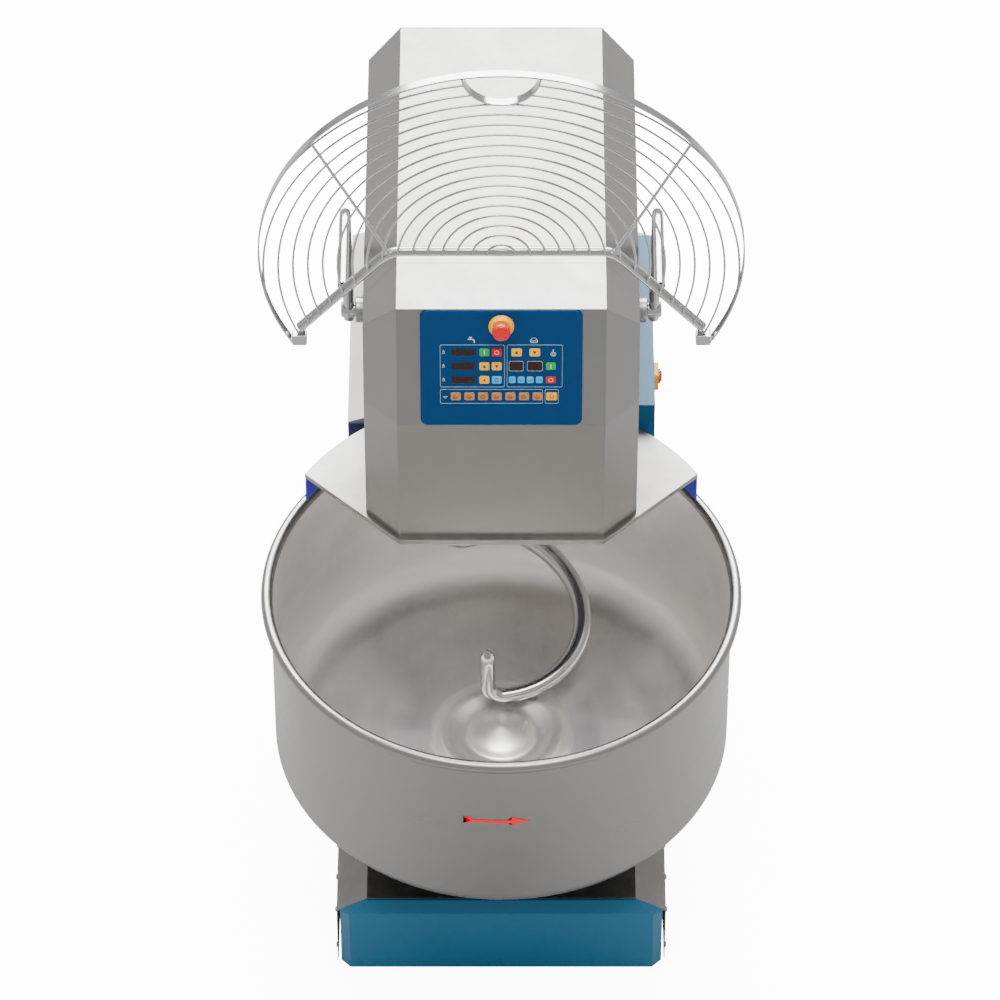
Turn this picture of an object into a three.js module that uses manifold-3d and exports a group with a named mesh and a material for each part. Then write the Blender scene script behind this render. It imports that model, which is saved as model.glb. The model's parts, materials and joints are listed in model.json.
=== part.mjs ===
// Spiral dough mixer with a fixed bowl, a tilting wire guard and an upper head.
// Millimetres, +Z up, the operator stands on the -Y side.
import * as THREE from 'three';
import { mergeVertices } from 'three/addons/utils/BufferGeometryUtils.js';
import Module from 'manifold-3d';

const wasm = await Module();
wasm.setup();

// ---------------------------------------------------------------- driving sizes

const GAP = 0.3;                 // left between two pieces that touch
const RUNNING = 0.6;             // radial clearance of a turning shaft
const SHEET = 3;                 // stainless casing sheet
const ROUND = 24;                // sides of shafts, pulleys, bearings and motors
const SMALL_ROUND = 16;          // sides of small turned pieces

const foot = { height: 10, radius: 40, inset: 70 };

const bowl = {
  rimHeight: 820,                // centre of the rolled rim above the floor
  rimRadius: 524,                // outer radius of the rolled rim
  rimBead: 13,
  rimReach: 21,                  // from the wall's outside to the rim's outside
  wall: 5,
  depth: 470,                    // rim centre to the outside of the bottom
  outerFillet: 45,
  innerFillet: 95,
  bossRadius: 74,
  bossHeight: 30,
  ringRadius: 135,
  ringHeight: 12,
  sides: 48,
};

const base = {
  front: -388,                   // front face of the cap, from the bowl's axis
  halfWidth: 365,
  deckHalfWidth: 297,
  sideHeight: 174,
  deckHeight: 215,
  capBevel: 21,
  capDepth: 27,
};

const column = {
  front: 417,
  halfWidth: 340,
  shoulderRise: 5,               // above the cover plate
  crownRise: 19,
  motorRoom: 147,                // from the recess to the axis of the bowl's motor
  bowlClearance: 15,
  wall: 4,
};

const plate = {
  thickness: 12,
  skirtHeight: 68,
  skirtGap: 7,                   // between the skirt and the bowl's rim
  radius: 506,
  front: 58,
  frontHalfWidth: 221,
  cornerHalfWidth: 432,
  skirtWall: 5,
  arcSteps: 28,
};

const head = {
  front: 70,
  halfWidth: 295,
  chamfer: 73,
  foldHeight: 335,               // flange to the fold in the front
  upperHeight: 288,              // fold to the top, measured upright
  lean: 57,                      // how far the top of the front leans back
  bevel: 97,                     // height of the sloping top edges
  length: 950,
  flange: 11,
};

const panel = { width: 344, height: 290, thickness: 4, corner: 12 };
const stop = {
  ringRadius: 27,
  ringHeight: 14,
  capRadius: 19.5,
  stemRadius: 11,
  stemDepth: 22,
  travel: 5,
  reach: 36,
  across: 0,
  down: 42,                      // along the panel, from its top edge
};

const hook = {
  radius: 183,
  clearance: 50,                 // between the sweep of its centre line and the bowl
  floorGap: 37,
  tipRadius: 15,
  rootRadius: 27,
  stub: 150,
  bend: 38,
  turns: 0.88,
  linearRise: 115,
  quadraticRise: 430,
  sides: 10,
  steps: 44,
};

const spiralShaft = { radius: 34, overPulley: 12 };
const bowlShaft = { radius: 45, flangeRadius: 150, flangeHeight: 22 };

const guard = {
  radius: 510,
  overRim: 50,                   // closed frame tubes above the rim's centre
  band: 4,
  bandDepth: 20,
  tube: 11,
  wire: 2.6,
  facet: 95,                     // length of wire between two bends of the model
  bar: 3.6,
  pitch: 31.2,                   // added to the radius from wire to wire
  drop: 0.093,                   // of its radius, each wire's centre below the chord
  chordHalf: 234,
  armSpan: 334,                  // centre of each side arm
  diagonalEnd: 426,
  diagonalDrop: 222,
  endGap: 7,                     // between the hoop's ends and the plate's corners
  notch: 79,
  pivotBack: 491,
  pivotRise: 280,                // of the pivots above the cover plate
  armTube: 12,
  armReach: 261,
  armTail: 30,                   // how far each arm runs on past its pivot
};
const pivot = { radius: 17.5, hubRadius: 29, hubLength: 24, pinRadius: 8 };

const cabinet = { front: 416, backInset: 56, depth: 41, drop: 70, rise: 58 };
const mainSwitch = { back: 563, rise: 2, plate: 48, plateThickness: 10, knobRadius: 17, knobLength: 8 };

const bowlDrive = { pulleyRadius: 190, motorPulleyRadius: 45, pulleyHeight: 46, level: 95 };
const spiralDrive = { pulleyRadius: 160, motorPulleyRadius: 48, motorInset: 260, pulleyHeight: 70, overFold: 3.4 };
const belt = { thickness: 9, grooves: 2, clearance: 1.2 };
const motor = { radius: 92, length: 250, shaft: 14, flange: 14 };
const screw = { radius: 7, height: 4 };
const gland = { radius: 15, length: 24 };

// ---------------------------------------------------------------- derived sizes

const wallRadius = bowl.rimRadius - bowl.rimReach;
const rimTop = bowl.rimHeight + bowl.rimBead;
const bowlBottom = bowl.rimHeight - bowl.depth;
const bowlFloor = bowlBottom + bowl.wall;
const skirtBottom = rimTop + plate.skirtGap;
const plateBottom = skirtBottom + plate.skirtHeight;
const plateTop = plateBottom + plate.thickness;
const headBottom = plateTop + GAP + head.flange + GAP;
const headFold = headBottom + head.foldHeight;
const headTop = headFold + head.upperHeight;
const headBack = head.front + head.length;
const topFront = head.front + head.lean;
const back = headBack + SHEET;
const chassisBack = headBack - SHEET;
const columnShoulder = plateTop + column.shoulderRise;
const columnCrown = plateTop + column.crownRise;
const cabinetBack = chassisBack - cabinet.backInset;
const cabinetBottom = plateTop - cabinet.drop;
const cabinetTop = plateTop + cabinet.rise;
const switchHeight = plateTop + mainSwitch.rise;
const hookAxis = wallRadius - bowl.wall - hook.clearance - hook.radius;
const bowlMotorAt = bowl.rimRadius + column.bowlClearance + column.wall + column.motorRoom;
const spiralMotorAt = headBack - spiralDrive.motorInset;
const spiralPulleyBottom = headFold + spiralDrive.overFold;
const spiralShaftTop = spiralPulleyBottom + spiralDrive.pulleyHeight + spiralShaft.overPulley;
const guardPlane = bowl.rimHeight + guard.overRim;
const pivotHeight = plateTop + guard.pivotRise;

// ---------------------------------------------------------------- solid modelling helpers

const toSolid = (geometry) => {
  const bare = geometry.clone();
  bare.deleteAttribute('normal');
  bare.deleteAttribute('uv');
  const merged = mergeVertices(bare, 1e-4);
  const vertProperties = new Float32Array(merged.attributes.position.array);
  const triVerts = new Uint32Array(merged.index.array);
  return new wasm.Manifold(new wasm.Mesh({ numProp: 3, vertProperties, triVerts }));
};

const toGeometry = (solid) => {
  const mesh = solid.getMesh();
  const geometry = new THREE.BufferGeometry();
  geometry.setAttribute('position', new THREE.BufferAttribute(new Float32Array(mesh.vertProperties), 3));
  geometry.setIndex(new THREE.BufferAttribute(new Uint32Array(mesh.triVerts), 1));
  geometry.computeVertexNormals();
  return geometry;
};

const join = (...pieces) => toGeometry(pieces.map(toSolid).reduce((whole, next) => whole.add(next)));

const cut = (piece, ...tools) => (
  toGeometry(tools.map(toSolid).reduce((left, tool) => left.subtract(tool), toSolid(piece)))
);

const trim = (piece, keep) => toGeometry(toSolid(piece).intersect(toSolid(keep)));

// A box from its lowest to its highest corner.
const block = (x0, x1, y0, y1, z0, z1) => (
  new THREE.BoxGeometry(x1 - x0, y1 - y0, z1 - z0)
    .translate((x0 + x1) / 2, (y0 + y1) / 2, (z0 + z1) / 2)
);

// An upright cylinder standing on z0.
const post = (radius, z0, z1, x = 0, y = 0, sides = ROUND) => (
  new THREE.CylinderGeometry(radius, radius, z1 - z0, sides)
    .rotateX(Math.PI / 2)
    .translate(x, y, (z0 + z1) / 2)
);

// A cylinder along X.
const crossPin = (radius, x0, x1, y, z, sides = ROUND) => (
  new THREE.CylinderGeometry(radius, radius, x1 - x0, sides)
    .rotateZ(Math.PI / 2)
    .translate((x0 + x1) / 2, y, z)
);

const outline = (points) => new THREE.Shape(points.map(([x, y]) => new THREE.Vector2(x, y)));

// A plan outline pulled up from z0 to z1.
const slab = (shape, z0, z1, curveSegments = 24) => (
  new THREE.ExtrudeGeometry(shape, { depth: z1 - z0, bevelEnabled: false, curveSegments })
    .translate(0, 0, z0)
);

// A front-view outline (x, z) pulled back from y0 to y1.
const bar = (shape, y0, y1) => (
  new THREE.ExtrudeGeometry(shape, { depth: y1 - y0, bevelEnabled: false, curveSegments: 12 })
    .rotateX(Math.PI / 2)
    .translate(0, y1, 0)
);

// A profile of [radius, height] pairs turned about an upright axis.
const turned = (profile, sides, x = 0, y = 0) => (
  new THREE.LatheGeometry(profile.map(([r, z]) => new THREE.Vector2(r, z)), sides)
    .rotateX(Math.PI / 2)
    .translate(x, y, 0)
);

const circleShape = (radius, sides) => (
  outline(Array.from({ length: sides }, (_, i) => {
    const angle = (2 * Math.PI * (i + 0.5)) / sides;
    return [radius * Math.cos(angle), radius * Math.sin(angle)];
  }))
);

const wireAlong = (path, radius, steps, sides) => (
  new THREE.ExtrudeGeometry(circleShape(radius, sides), { steps, bevelEnabled: false, extrudePath: path })
);

const straight = (from, to, radius, sides = 8) => (
  wireAlong(new THREE.LineCurve3(new THREE.Vector3(...from), new THREE.Vector3(...to)), radius, 1, sides)
);

// Points of an arc about (0, centre), from one angle to another, in plan.
const arcPoints = (radius, from, to, steps, centre = 0) => (
  Array.from({ length: steps + 1 }, (_, i) => {
    const angle = from + ((to - from) * i) / steps;
    return [radius * Math.cos(angle), centre + radius * Math.sin(angle)];
  })
);

// A round bar whose thickness changes along its centre line.
const taperedBar = (path, steps, sides, radiusAt) => {
  const frames = path.computeFrenetFrames(steps, false);
  const positions = [];
  const index = [];
  for (let i = 0; i <= steps; i += 1) {
    const centre = path.getPointAt(i / steps);
    const radius = radiusAt(i / steps);
    for (let k = 0; k < sides; k += 1) {
      const angle = (2 * Math.PI * k) / sides;
      const point = centre.clone()
        .addScaledVector(frames.normals[i], radius * Math.cos(angle))
        .addScaledVector(frames.binormals[i], radius * Math.sin(angle));
      positions.push(point.x, point.y, point.z);
    }
  }
  for (let i = 0; i < steps; i += 1) {
    for (let k = 0; k < sides; k += 1) {
      const a = i * sides + k;
      const b = i * sides + ((k + 1) % sides);
      index.push(a, b, a + sides, b, b + sides, a + sides);
    }
  }
  [0, steps].forEach((ring) => {
    const hub = positions.length / 3;
    const centre = path.getPointAt(ring / steps);
    positions.push(centre.x, centre.y, centre.z);
    for (let k = 0; k < sides; k += 1) {
      const a = ring * sides + k;
      const b = ring * sides + ((k + 1) % sides);
      index.push(...(ring === 0 ? [hub, b, a] : [hub, a, b]));
    }
  });
  const geometry = new THREE.BufferGeometry();
  geometry.setAttribute('position', new THREE.BufferAttribute(new Float32Array(positions), 3));
  geometry.setIndex(index);
  geometry.computeVertexNormals();
  return geometry;
};

// ---------------------------------------------------------------- finishes

const finishes = {
  stainless: { color: 0x9c9a97, roughness: 0.38, metalness: 1 },
  polished: { color: 0xc9c9c9, roughness: 0.16, metalness: 1 },
  blue_paint: { color: 0x1f6487, roughness: 0.45, metalness: 0 },
  blue_plastic: { color: 0x2d2dbe, roughness: 0.5, metalness: 0 },
  blue_foil: { color: 0x023e71, roughness: 0.4, metalness: 0 },
  cast: { color: 0x5b5e60, roughness: 0.7, metalness: 0.6 },
  steel: { color: 0x86888a, roughness: 0.45, metalness: 1 },
  rubber: { color: 0x17181a, roughness: 0.9, metalness: 0 },
  red: { color: 0xc41218, roughness: 0.35, metalness: 0 },
  yellow: { color: 0xf2b01c, roughness: 0.4, metalness: 0 },
  grey_plastic: { color: 0x8d9092, roughness: 0.6, metalness: 0 },
};

const group = new THREE.Group();
const machine = new THREE.Group();
group.add(machine);

const add = (name, finish, geometry) => {
  const mesh = new THREE.Mesh(geometry, new THREE.MeshStandardMaterial(finishes[finish]));
  mesh.name = name;
  machine.add(mesh);
  return mesh;
};

const sides = [['left', -1], ['right', 1]];

// ---------------------------------------------------------------- base

// Front view of the base casing: upright sides, sloping shoulders and a flat deck.
const baseProfile = (inset, bottom) => {
  const half = base.halfWidth - inset;
  const deck = base.deckHalfWidth - inset / 2;
  const shoulder = base.sideHeight - inset;
  const top = base.deckHeight - inset;
  return outline([[-half, bottom], [half, bottom], [half, shoulder], [deck, top], [-deck, top], [-half, shoulder]]);
};

const capBack = base.front + base.capDepth;

const addBase = () => {
  const floor = foot.height;
  const casing = cut(
    bar(baseProfile(0, floor), capBack + GAP, back),
    bar(baseProfile(SHEET, floor - 1), capBack - 1, back - SHEET),
    post(bowlShaft.radius + 60, base.deckHeight - 30, base.deckHeight + 5),
    post(motor.shaft + 26, base.deckHeight - 30, base.deckHeight + 5, 0, bowlMotorAt),
  );
  add('base_casing', 'stainless', casing);

  // The cap is a hollow cover, chamfered on its front corners and along its top.
  const c = base.capBevel;
  const half = base.halfWidth - 8;
  const capPlan = outline([
    [-half, capBack], [-half, base.front + c], [-half + c, base.front],
    [half - c, base.front], [half, base.front + c], [half, capBack],
  ]);
  const sideView = new THREE.Shape([
    [base.front, floor], [capBack, floor], [capBack, base.deckHeight],
    [base.front + c, base.deckHeight], [base.front, base.deckHeight - c],
  ].map(([y, z]) => new THREE.Vector2(y, z)));
  const sideSlab = new THREE.ExtrudeGeometry(sideView, { depth: 2 * base.halfWidth, bevelEnabled: false })
    .rotateX(Math.PI / 2)
    .rotateZ(Math.PI / 2)
    .translate(-base.halfWidth, 0, 0);
  const solid = trim(trim(slab(capPlan, floor, base.deckHeight), sideSlab), bar(baseProfile(0, 0), -600, 0));
  const hollow = block(-half + 6 + c, half - 6 - c, base.front + 6, capBack + 1, floor - 1, base.sideHeight - 8);
  add('base_front_cap', 'blue_paint', cut(solid, hollow));

  // A welded frame of two rails and three cross members inside the casing.
  const railOut = base.halfWidth - SHEET - 14;
  const ladder = cut(
    block(-railOut, railOut, capBack + 12, chassisBack - 12, floor + GAP, floor + 52),
    block(-railOut + 50, railOut - 50, capBack + 62, wallRadius - 220, floor - 1, floor + 60),
    block(-railOut + 50, railOut - 50, wallRadius - 160, chassisBack - 70, floor - 1, floor + 60),
  );
  add('base_frame', 'cast', ladder);

  ['front', 'rear'].forEach((end) => {
    sides.forEach(([side, sign]) => {
      const x = sign * (base.halfWidth - foot.inset);
      const y = end === 'front' ? capBack + foot.inset : chassisBack - foot.inset;
      const pad = turned([[0, 0], [foot.radius, 0], [foot.radius, foot.height - 3],
        [foot.radius - 6, foot.height], [0, foot.height]], ROUND, x, y);
      add(`foot_${end}_${side}`, 'rubber', pad);
    });
  });
};

// Dome-headed screws along the casing's lower sides.
const addCasingScrews = () => {
  const row = base.sideHeight - 24;
  const places = [[capBack + 24, 28], [capBack + 24, row], [capBack + 118, row], [capBack + 212, row]];
  sides.forEach(([side, sign]) => {
    places.forEach(([y, z], i) => {
      const dome = new THREE.LatheGeometry([[0, 0], [screw.radius, 0], [screw.radius * 0.7, screw.height * 0.75],
        [0, screw.height]].map(([r, h]) => new THREE.Vector2(r, h)), 8)
        .rotateZ(sign > 0 ? -Math.PI / 2 : Math.PI / 2)
        .translate(sign * (base.halfWidth + GAP), y, z);
      add(`casing_screw_${side}_${i + 1}`, 'polished', dome);
    });
  });
};

// ---------------------------------------------------------------- column

const columnProfile = (inset) => {
  const half = column.halfWidth - inset;
  const crown = head.halfWidth + GAP + 4;
  return outline([
    [-half, 0], [half, 0], [half, columnShoulder - inset], [crown, columnCrown - inset],
    [-crown, columnCrown - inset], [-half, columnShoulder - inset],
  ]);
};

const cabinetBlock = (grow) => block(
  column.halfWidth - cabinet.depth - grow,
  column.halfWidth + 3 + grow,
  cabinet.front - 20 - grow,
  cabinetBack + grow,
  cabinetBottom - grow,
  cabinetTop + grow,
);

const addColumn = () => {
  const floor = base.deckHeight + GAP;
  const recess = bowl.rimRadius + column.bowlClearance;
  const w = column.wall;
  const outer = cut(
    trim(bar(columnProfile(0), column.front, chassisBack), block(-500, 500, 0, 2000, floor, 2000)),
    post(recess, 0, plateTop + GAP, 0, 0, bowl.sides),
  );
  const inner = cut(
    bar(columnProfile(w), column.front + w, chassisBack - w),
    post(recess + w, 0, plateTop + GAP + w, 0, 0, bowl.sides),
  );
  const shell = cut(
    outer,
    trim(inner, block(-500, 500, 0, 2000, floor - 1, 2000)),
    block(-head.halfWidth - GAP, head.halfWidth + GAP, 0, 2000, plateTop - 1, 2000),
    cabinetBlock(GAP),
    block(-230, 230, chassisBack - 2 * w, chassisBack + 1, floor + 60, plateTop - 80),
  );
  add('column_casing', 'stainless', shell);

  // The rear cover closes the service opening; its slots let the motor's heat out.
  const cover = block(-255, 255, chassisBack + GAP, chassisBack + GAP + SHEET, floor + 35, plateTop - 55);
  const slots = Array.from({ length: 7 }, (_, i) => (
    block(-120, 120, chassisBack - 5, chassisBack + 10, floor + 110 + 34 * i, floor + 120 + 34 * i)
  ));
  add('rear_cover', 'stainless', cut(cover, ...slots));
};

// ---------------------------------------------------------------- electrical cabinet

const addCabinet = () => {
  const outside = column.halfWidth;
  const x0 = outside - cabinet.depth;
  const y0 = cabinet.front;
  const y1 = cabinetBack;
  const wall = 3;
  const tub = cut(
    block(x0, outside, y0, y1, cabinetBottom, cabinetTop),
    block(x0 - 1, outside - wall, y0 + wall, y1 - wall, cabinetBottom + wall, cabinetTop - wall),
    crossPin(7, outside - 10, outside + 10, mainSwitch.back, switchHeight, SMALL_ROUND),
  );
  add('electrical_cabinet', 'blue_paint', tub);
  const contactor = block(x0 + 4, outside - wall - 6, y0 + 30, y0 + 75, cabinetBottom + 18, cabinetTop - 30);
  add('contactor', 'grey_plastic', contactor);

  const h = mainSwitch.plate / 2;
  const px = outside + GAP;
  const bezel = cut(
    block(px, px + mainSwitch.plateThickness, mainSwitch.back - h, mainSwitch.back + h,
      switchHeight - h, switchHeight + h),
    crossPin(7, px - 5, px + 20, mainSwitch.back, switchHeight, SMALL_ROUND),
  );
  add('main_switch_plate', 'yellow', bezel);
  const kx = px + mainSwitch.plateThickness + GAP;
  const knob = join(
    crossPin(mainSwitch.knobRadius, kx, kx + mainSwitch.knobLength * 0.5, mainSwitch.back, switchHeight),
    block(kx, kx + mainSwitch.knobLength, mainSwitch.back - 5, mainSwitch.back + 5,
      switchHeight - mainSwitch.knobRadius + 2, switchHeight + mainSwitch.knobRadius - 2),
    crossPin(6, outside - 14, kx + 1, mainSwitch.back, switchHeight, SMALL_ROUND),
  );
  add('main_switch_knob', 'red', knob);
};

// ---------------------------------------------------------------- head

const headPlan = (inset) => {
  const half = head.halfWidth - inset;
  const c = head.chamfer;
  const slip = inset * (Math.SQRT2 - 1);
  return outline([
    [-half, headBack - inset], [-half, head.front + c + slip], [-half + c - slip, head.front + inset],
    [half - c + slip, head.front + inset], [half, head.front + c + slip], [half, headBack - inset],
  ]);
};

// The upper part of the front leans back: its top corners move back, the rest of the outline stays.
const leaning = (geometry) => {
  const place = geometry.attributes.position;
  const frontEdge = head.front + head.chamfer + head.lean / 2;
  for (let i = 0; i < place.count; i += 1) {
    if (place.getZ(i) > headTop - 1 && place.getY(i) < frontEdge) {
      place.setY(i, place.getY(i) + head.lean);
    }
  }
  return geometry;
};

const headBody = (inset) => {
  const half = head.halfWidth - inset;
  const flat = head.halfWidth - head.chamfer - inset / 2;
  const floor = inset > 0 ? headBottom - 1 : headBottom;
  const shoulder = headTop - head.bevel - inset / 2;
  const crown = headTop - inset;
  const topProfile = outline([
    [-half, floor], [half, floor], [half, shoulder], [flat, crown], [-flat, crown], [-half, shoulder],
  ]);
  const lower = slab(headPlan(inset), floor, headFold);
  const upper = leaning(slab(headPlan(inset), headFold, headTop));
  return trim(join(lower, upper), bar(topProfile, 0, headBack + 10));
};

const panelAngle = Math.atan2(head.lean, head.upperHeight);
const panelLength = Math.hypot(head.lean, head.upperHeight);

// Places a piece that is drawn lying in XY, facing +Z, on the leaning front.
const onPanel = (geometry, across, down, proud) => {
  const along = panelLength - down;
  return geometry
    .rotateX(Math.PI / 2 - panelAngle)
    .translate(
      across,
      head.front + along * Math.sin(panelAngle) - proud * Math.cos(panelAngle),
      headFold + along * Math.cos(panelAngle) + proud * Math.sin(panelAngle),
    );
};

const capSplit = headTop - head.bevel - 4;

const addHead = () => {
  const outer = headBody(0);
  const inner = headBody(SHEET);
  const stopHole = onPanel(new THREE.CylinderGeometry(stop.stemRadius + RUNNING, stop.stemRadius + RUNNING, 80, SMALL_ROUND)
    .rotateX(Math.PI / 2), stop.across, stop.down, 0);
  const shell = cut(
    outer,
    inner,
    block(-head.halfWidth - 5, head.halfWidth + 5, topFront + 140, headBack - SHEET - 1, capSplit, headTop + 5),
    stopHole,
    ...sides.map(([, sign]) => crossPin(pivot.pinRadius + RUNNING, sign * head.halfWidth - 10,
      sign * head.halfWidth + 10, guard.pivotBack, pivotHeight, SMALL_ROUND)),
  );
  add('head_casing', 'stainless', shell);
  const roof = trim(cut(outer, inner), block(-head.halfWidth - 5, head.halfWidth + 5,
    topFront + 140 + GAP, headBack - SHEET - 1 - GAP, capSplit + GAP, headTop + 5));
  add('head_top_cover', 'stainless', roof);
};

const addFlange = () => {
  const ring = cut(
    slab(headPlan(0), plateTop + GAP, plateTop + GAP + head.flange),
    slab(headPlan(26), plateTop - 1, plateTop + 30),
  );
  add('head_flange', 'stainless', ring);
};

const addPanel = () => {
  const w = panel.width / 2;
  const h = panel.height / 2;
  const r = panel.corner;
  const sheet = new THREE.Shape();
  sheet.moveTo(-w + r, -h);
  sheet.lineTo(w - r, -h);
  sheet.absarc(w - r, -h + r, r, -Math.PI / 2, 0);
  sheet.lineTo(w, h - r);
  sheet.absarc(w - r, h - r, r, 0, Math.PI / 2);
  sheet.lineTo(-w + r, h);
  sheet.absarc(-w + r, h - r, r, Math.PI / 2, Math.PI);
  sheet.lineTo(-w, -h + r);
  sheet.absarc(-w + r, -h + r, r, Math.PI, 1.5 * Math.PI);
  const foil = new THREE.ExtrudeGeometry(sheet, { depth: panel.thickness, bevelEnabled: false, curveSegments: 3 });
  const hole = new THREE.CylinderGeometry(stop.stemRadius + RUNNING, stop.stemRadius + RUNNING, 80, SMALL_ROUND)
    .rotateX(Math.PI / 2)
    .translate(stop.across, panelLength / 2 - stop.down, 0);
  add('control_panel', 'blue_foil', onPanel(cut(foil, hole), 0, panelLength / 2, GAP));

  const collar = new THREE.LatheGeometry([
    [stop.stemRadius + RUNNING, 0], [stop.ringRadius, 0], [stop.ringRadius, stop.ringHeight * 0.45],
    [stop.capRadius + 2, stop.ringHeight], [stop.stemRadius + RUNNING, stop.ringHeight],
    [stop.stemRadius + RUNNING, 0],
  ].map(([r0, z]) => new THREE.Vector2(r0, z)), SMALL_ROUND).rotateX(Math.PI / 2);
  const seat = panel.thickness + 2 * GAP;
  add('emergency_stop_collar', 'yellow', onPanel(collar, stop.across, stop.down, seat));
  const capBase = stop.ringHeight + stop.travel + 1.5;
  const mushroom = new THREE.LatheGeometry([
    [0, -stop.stemDepth], [stop.stemRadius, -stop.stemDepth], [stop.stemRadius, capBase], [stop.capRadius, capBase],
    [stop.capRadius, stop.reach - 7], [stop.capRadius - 5, stop.reach - 1.5], [0, stop.reach],
  ].map(([r0, z]) => new THREE.Vector2(r0, z)), SMALL_ROUND).rotateX(Math.PI / 2);
  add('emergency_stop_button', 'red', onPanel(mushroom, stop.across, stop.down, seat));
};

// ---------------------------------------------------------------- cover plate over the bowl

const cornerBack = Math.sqrt(plate.radius ** 2 - plate.cornerHalfWidth ** 2);
const cornerAngle = Math.atan2(cornerBack, plate.cornerHalfWidth);

const addCoverPlate = () => {
  const arc = arcPoints(plate.radius, cornerAngle, Math.PI - cornerAngle, plate.arcSteps);
  const plan = outline([[-plate.frontHalfWidth, plate.front], [plate.frontHalfWidth, plate.front], ...arc]);
  const bearingHole = post(78, plateBottom - 5, plateTop + 5, 0, hookAxis);
  add('bowl_cover_plate', 'stainless', cut(slab(plan, plateBottom, plateTop), bearingHole));

  const out = arcPoints(plate.radius, cornerAngle, Math.PI - cornerAngle, plate.arcSteps);
  const inn = arcPoints(plate.radius - plate.skirtWall, Math.PI - cornerAngle, cornerAngle, plate.arcSteps);
  add('bowl_skirt', 'blue_plastic', slab(outline([...out, ...inn]), skirtBottom, plateBottom - GAP));
};

// ---------------------------------------------------------------- bowl

const bowlProfile = () => {
  const b = bowl;
  const outerWall = wallRadius;
  const innerWall = wallRadius - b.wall;
  const beadCentre = b.rimRadius - b.rimBead;
  const quarter = (cx, cz, r, from, to, steps) => Array.from({ length: steps + 1 }, (_, i) => {
    const angle = from + ((to - from) * i) / steps;
    return [cx + r * Math.cos(angle), cz + r * Math.sin(angle)];
  });
  const deg = Math.PI / 180;
  return [
    [0, bowlBottom],
    ...quarter(outerWall - b.outerFillet, bowlBottom + b.outerFillet, b.outerFillet, -90 * deg, 0, 4),
    ...quarter(beadCentre, b.rimHeight, b.rimBead, -135 * deg, 135 * deg, 6),
    [innerWall, b.rimHeight],
    ...quarter(innerWall - b.innerFillet, bowlFloor + b.innerFillet, b.innerFillet, 0, -90 * deg, 5),
    [b.ringRadius + 26, bowlFloor],
    [b.ringRadius, bowlFloor + b.ringHeight],
    [b.ringRadius - 22, bowlFloor + b.ringHeight],
    [b.bossRadius + 14, bowlFloor + 2],
    [b.bossRadius, bowlFloor + b.bossHeight * 0.15],
    [b.bossRadius * 0.84, bowlFloor + b.bossHeight * 0.45],
    [b.bossRadius * 0.54, bowlFloor + b.bossHeight * 0.72],
    [b.bossRadius * 0.22, bowlFloor + b.bossHeight * 0.88],
    [0, bowlFloor + b.bossHeight],
  ];
};

const addBowl = () => {
  add('bowl', 'stainless', turned(bowlProfile(), bowl.sides));
  const s = bowlShaft;
  const shaftBottom = bowlDrive.level - 24;
  const top = bowlBottom - GAP;
  add('bowl_shaft', 'steel', turned([
    [0, shaftBottom], [s.radius, shaftBottom], [s.radius, top - s.flangeHeight],
    [s.flangeRadius, top - s.flangeHeight], [s.flangeRadius, top], [0, top],
  ], ROUND));
};

// ---------------------------------------------------------------- spiral hook

const hookCurve = () => {
  const start = bowlFloor + hook.floorGap;
  const points = [];
  const tipX = -30;
  const tipY = hookAxis - hook.radius;
  const tall = start + hook.stub;
  points.push([tipX, tipY, tall], [tipX, tipY, (tall + start + hook.bend) / 2], [tipX, tipY, start + hook.bend]);
  const k = hook.bend * (1 - Math.SQRT1_2);
  points.push([tipX + k, tipY, start + k]);
  const first = (tipX + hook.bend) / hook.radius / (2 * Math.PI);
  const steps = 22;
  for (let i = 0; i <= steps; i += 1) {
    const t = first + ((hook.turns - first) * i) / steps;
    const angle = 2 * Math.PI * t;
    const inward = Math.max(0, (t - 0.55) / (hook.turns - 0.55));
    const radius = hook.radius * (1 - inward ** 2 * (3 - 2 * inward) * 0.93);
    const height = start + hook.linearRise * t + hook.quadraticRise * t * t;
    points.push([radius * Math.sin(angle), hookAxis - radius * Math.cos(angle), height]);
  }
  return new THREE.CatmullRomCurve3(points.map((p) => new THREE.Vector3(...p)), false, 'centripetal');
};

const addHook = () => {
  const path = hookCurve();
  const arm = taperedBar(path, hook.steps, hook.sides, (u) => (
    hook.tipRadius + (hook.rootRadius - hook.tipRadius) * u
  ));
  const end = path.getPointAt(1);
  const root = turned([
    [0, end.z - 46], [22, end.z - 40], [spiralShaft.radius, end.z - 12], [spiralShaft.radius, plateTop + 40],
    [0, plateTop + 40],
  ], ROUND, 0, hookAxis);
  const flange = post(62, plateBottom - 16, plateTop - 3, 0, hookAxis);
  add('spiral_hook', 'polished', join(arm, root, flange));
  add('spiral_shaft', 'steel', turned([
    [0, plateTop + 40 + GAP], [spiralShaft.radius, plateTop + 40 + GAP], [spiralShaft.radius, spiralShaftTop],
    [0, spiralShaftTop],
  ], ROUND, 0, hookAxis));
};

// ---------------------------------------------------------------- drives

const pulleyProfile = (radius, bore, z0, z1, grooves) => {
  const deep = 9;
  const pitch = (z1 - z0) / (grooves + 0.5);
  const rim = [];
  for (let i = 0; i < grooves; i += 1) {
    const z = z0 + pitch * (i + 0.25);
    rim.push([radius, z + pitch * 0.12], [radius - deep, z + pitch * 0.35],
      [radius - deep, z + pitch * 0.65], [radius, z + pitch * 0.88]);
  }
  return [[bore, z0], [radius, z0], ...rim, [radius, z1], [bore, z1], [bore, z0]];
};

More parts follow.
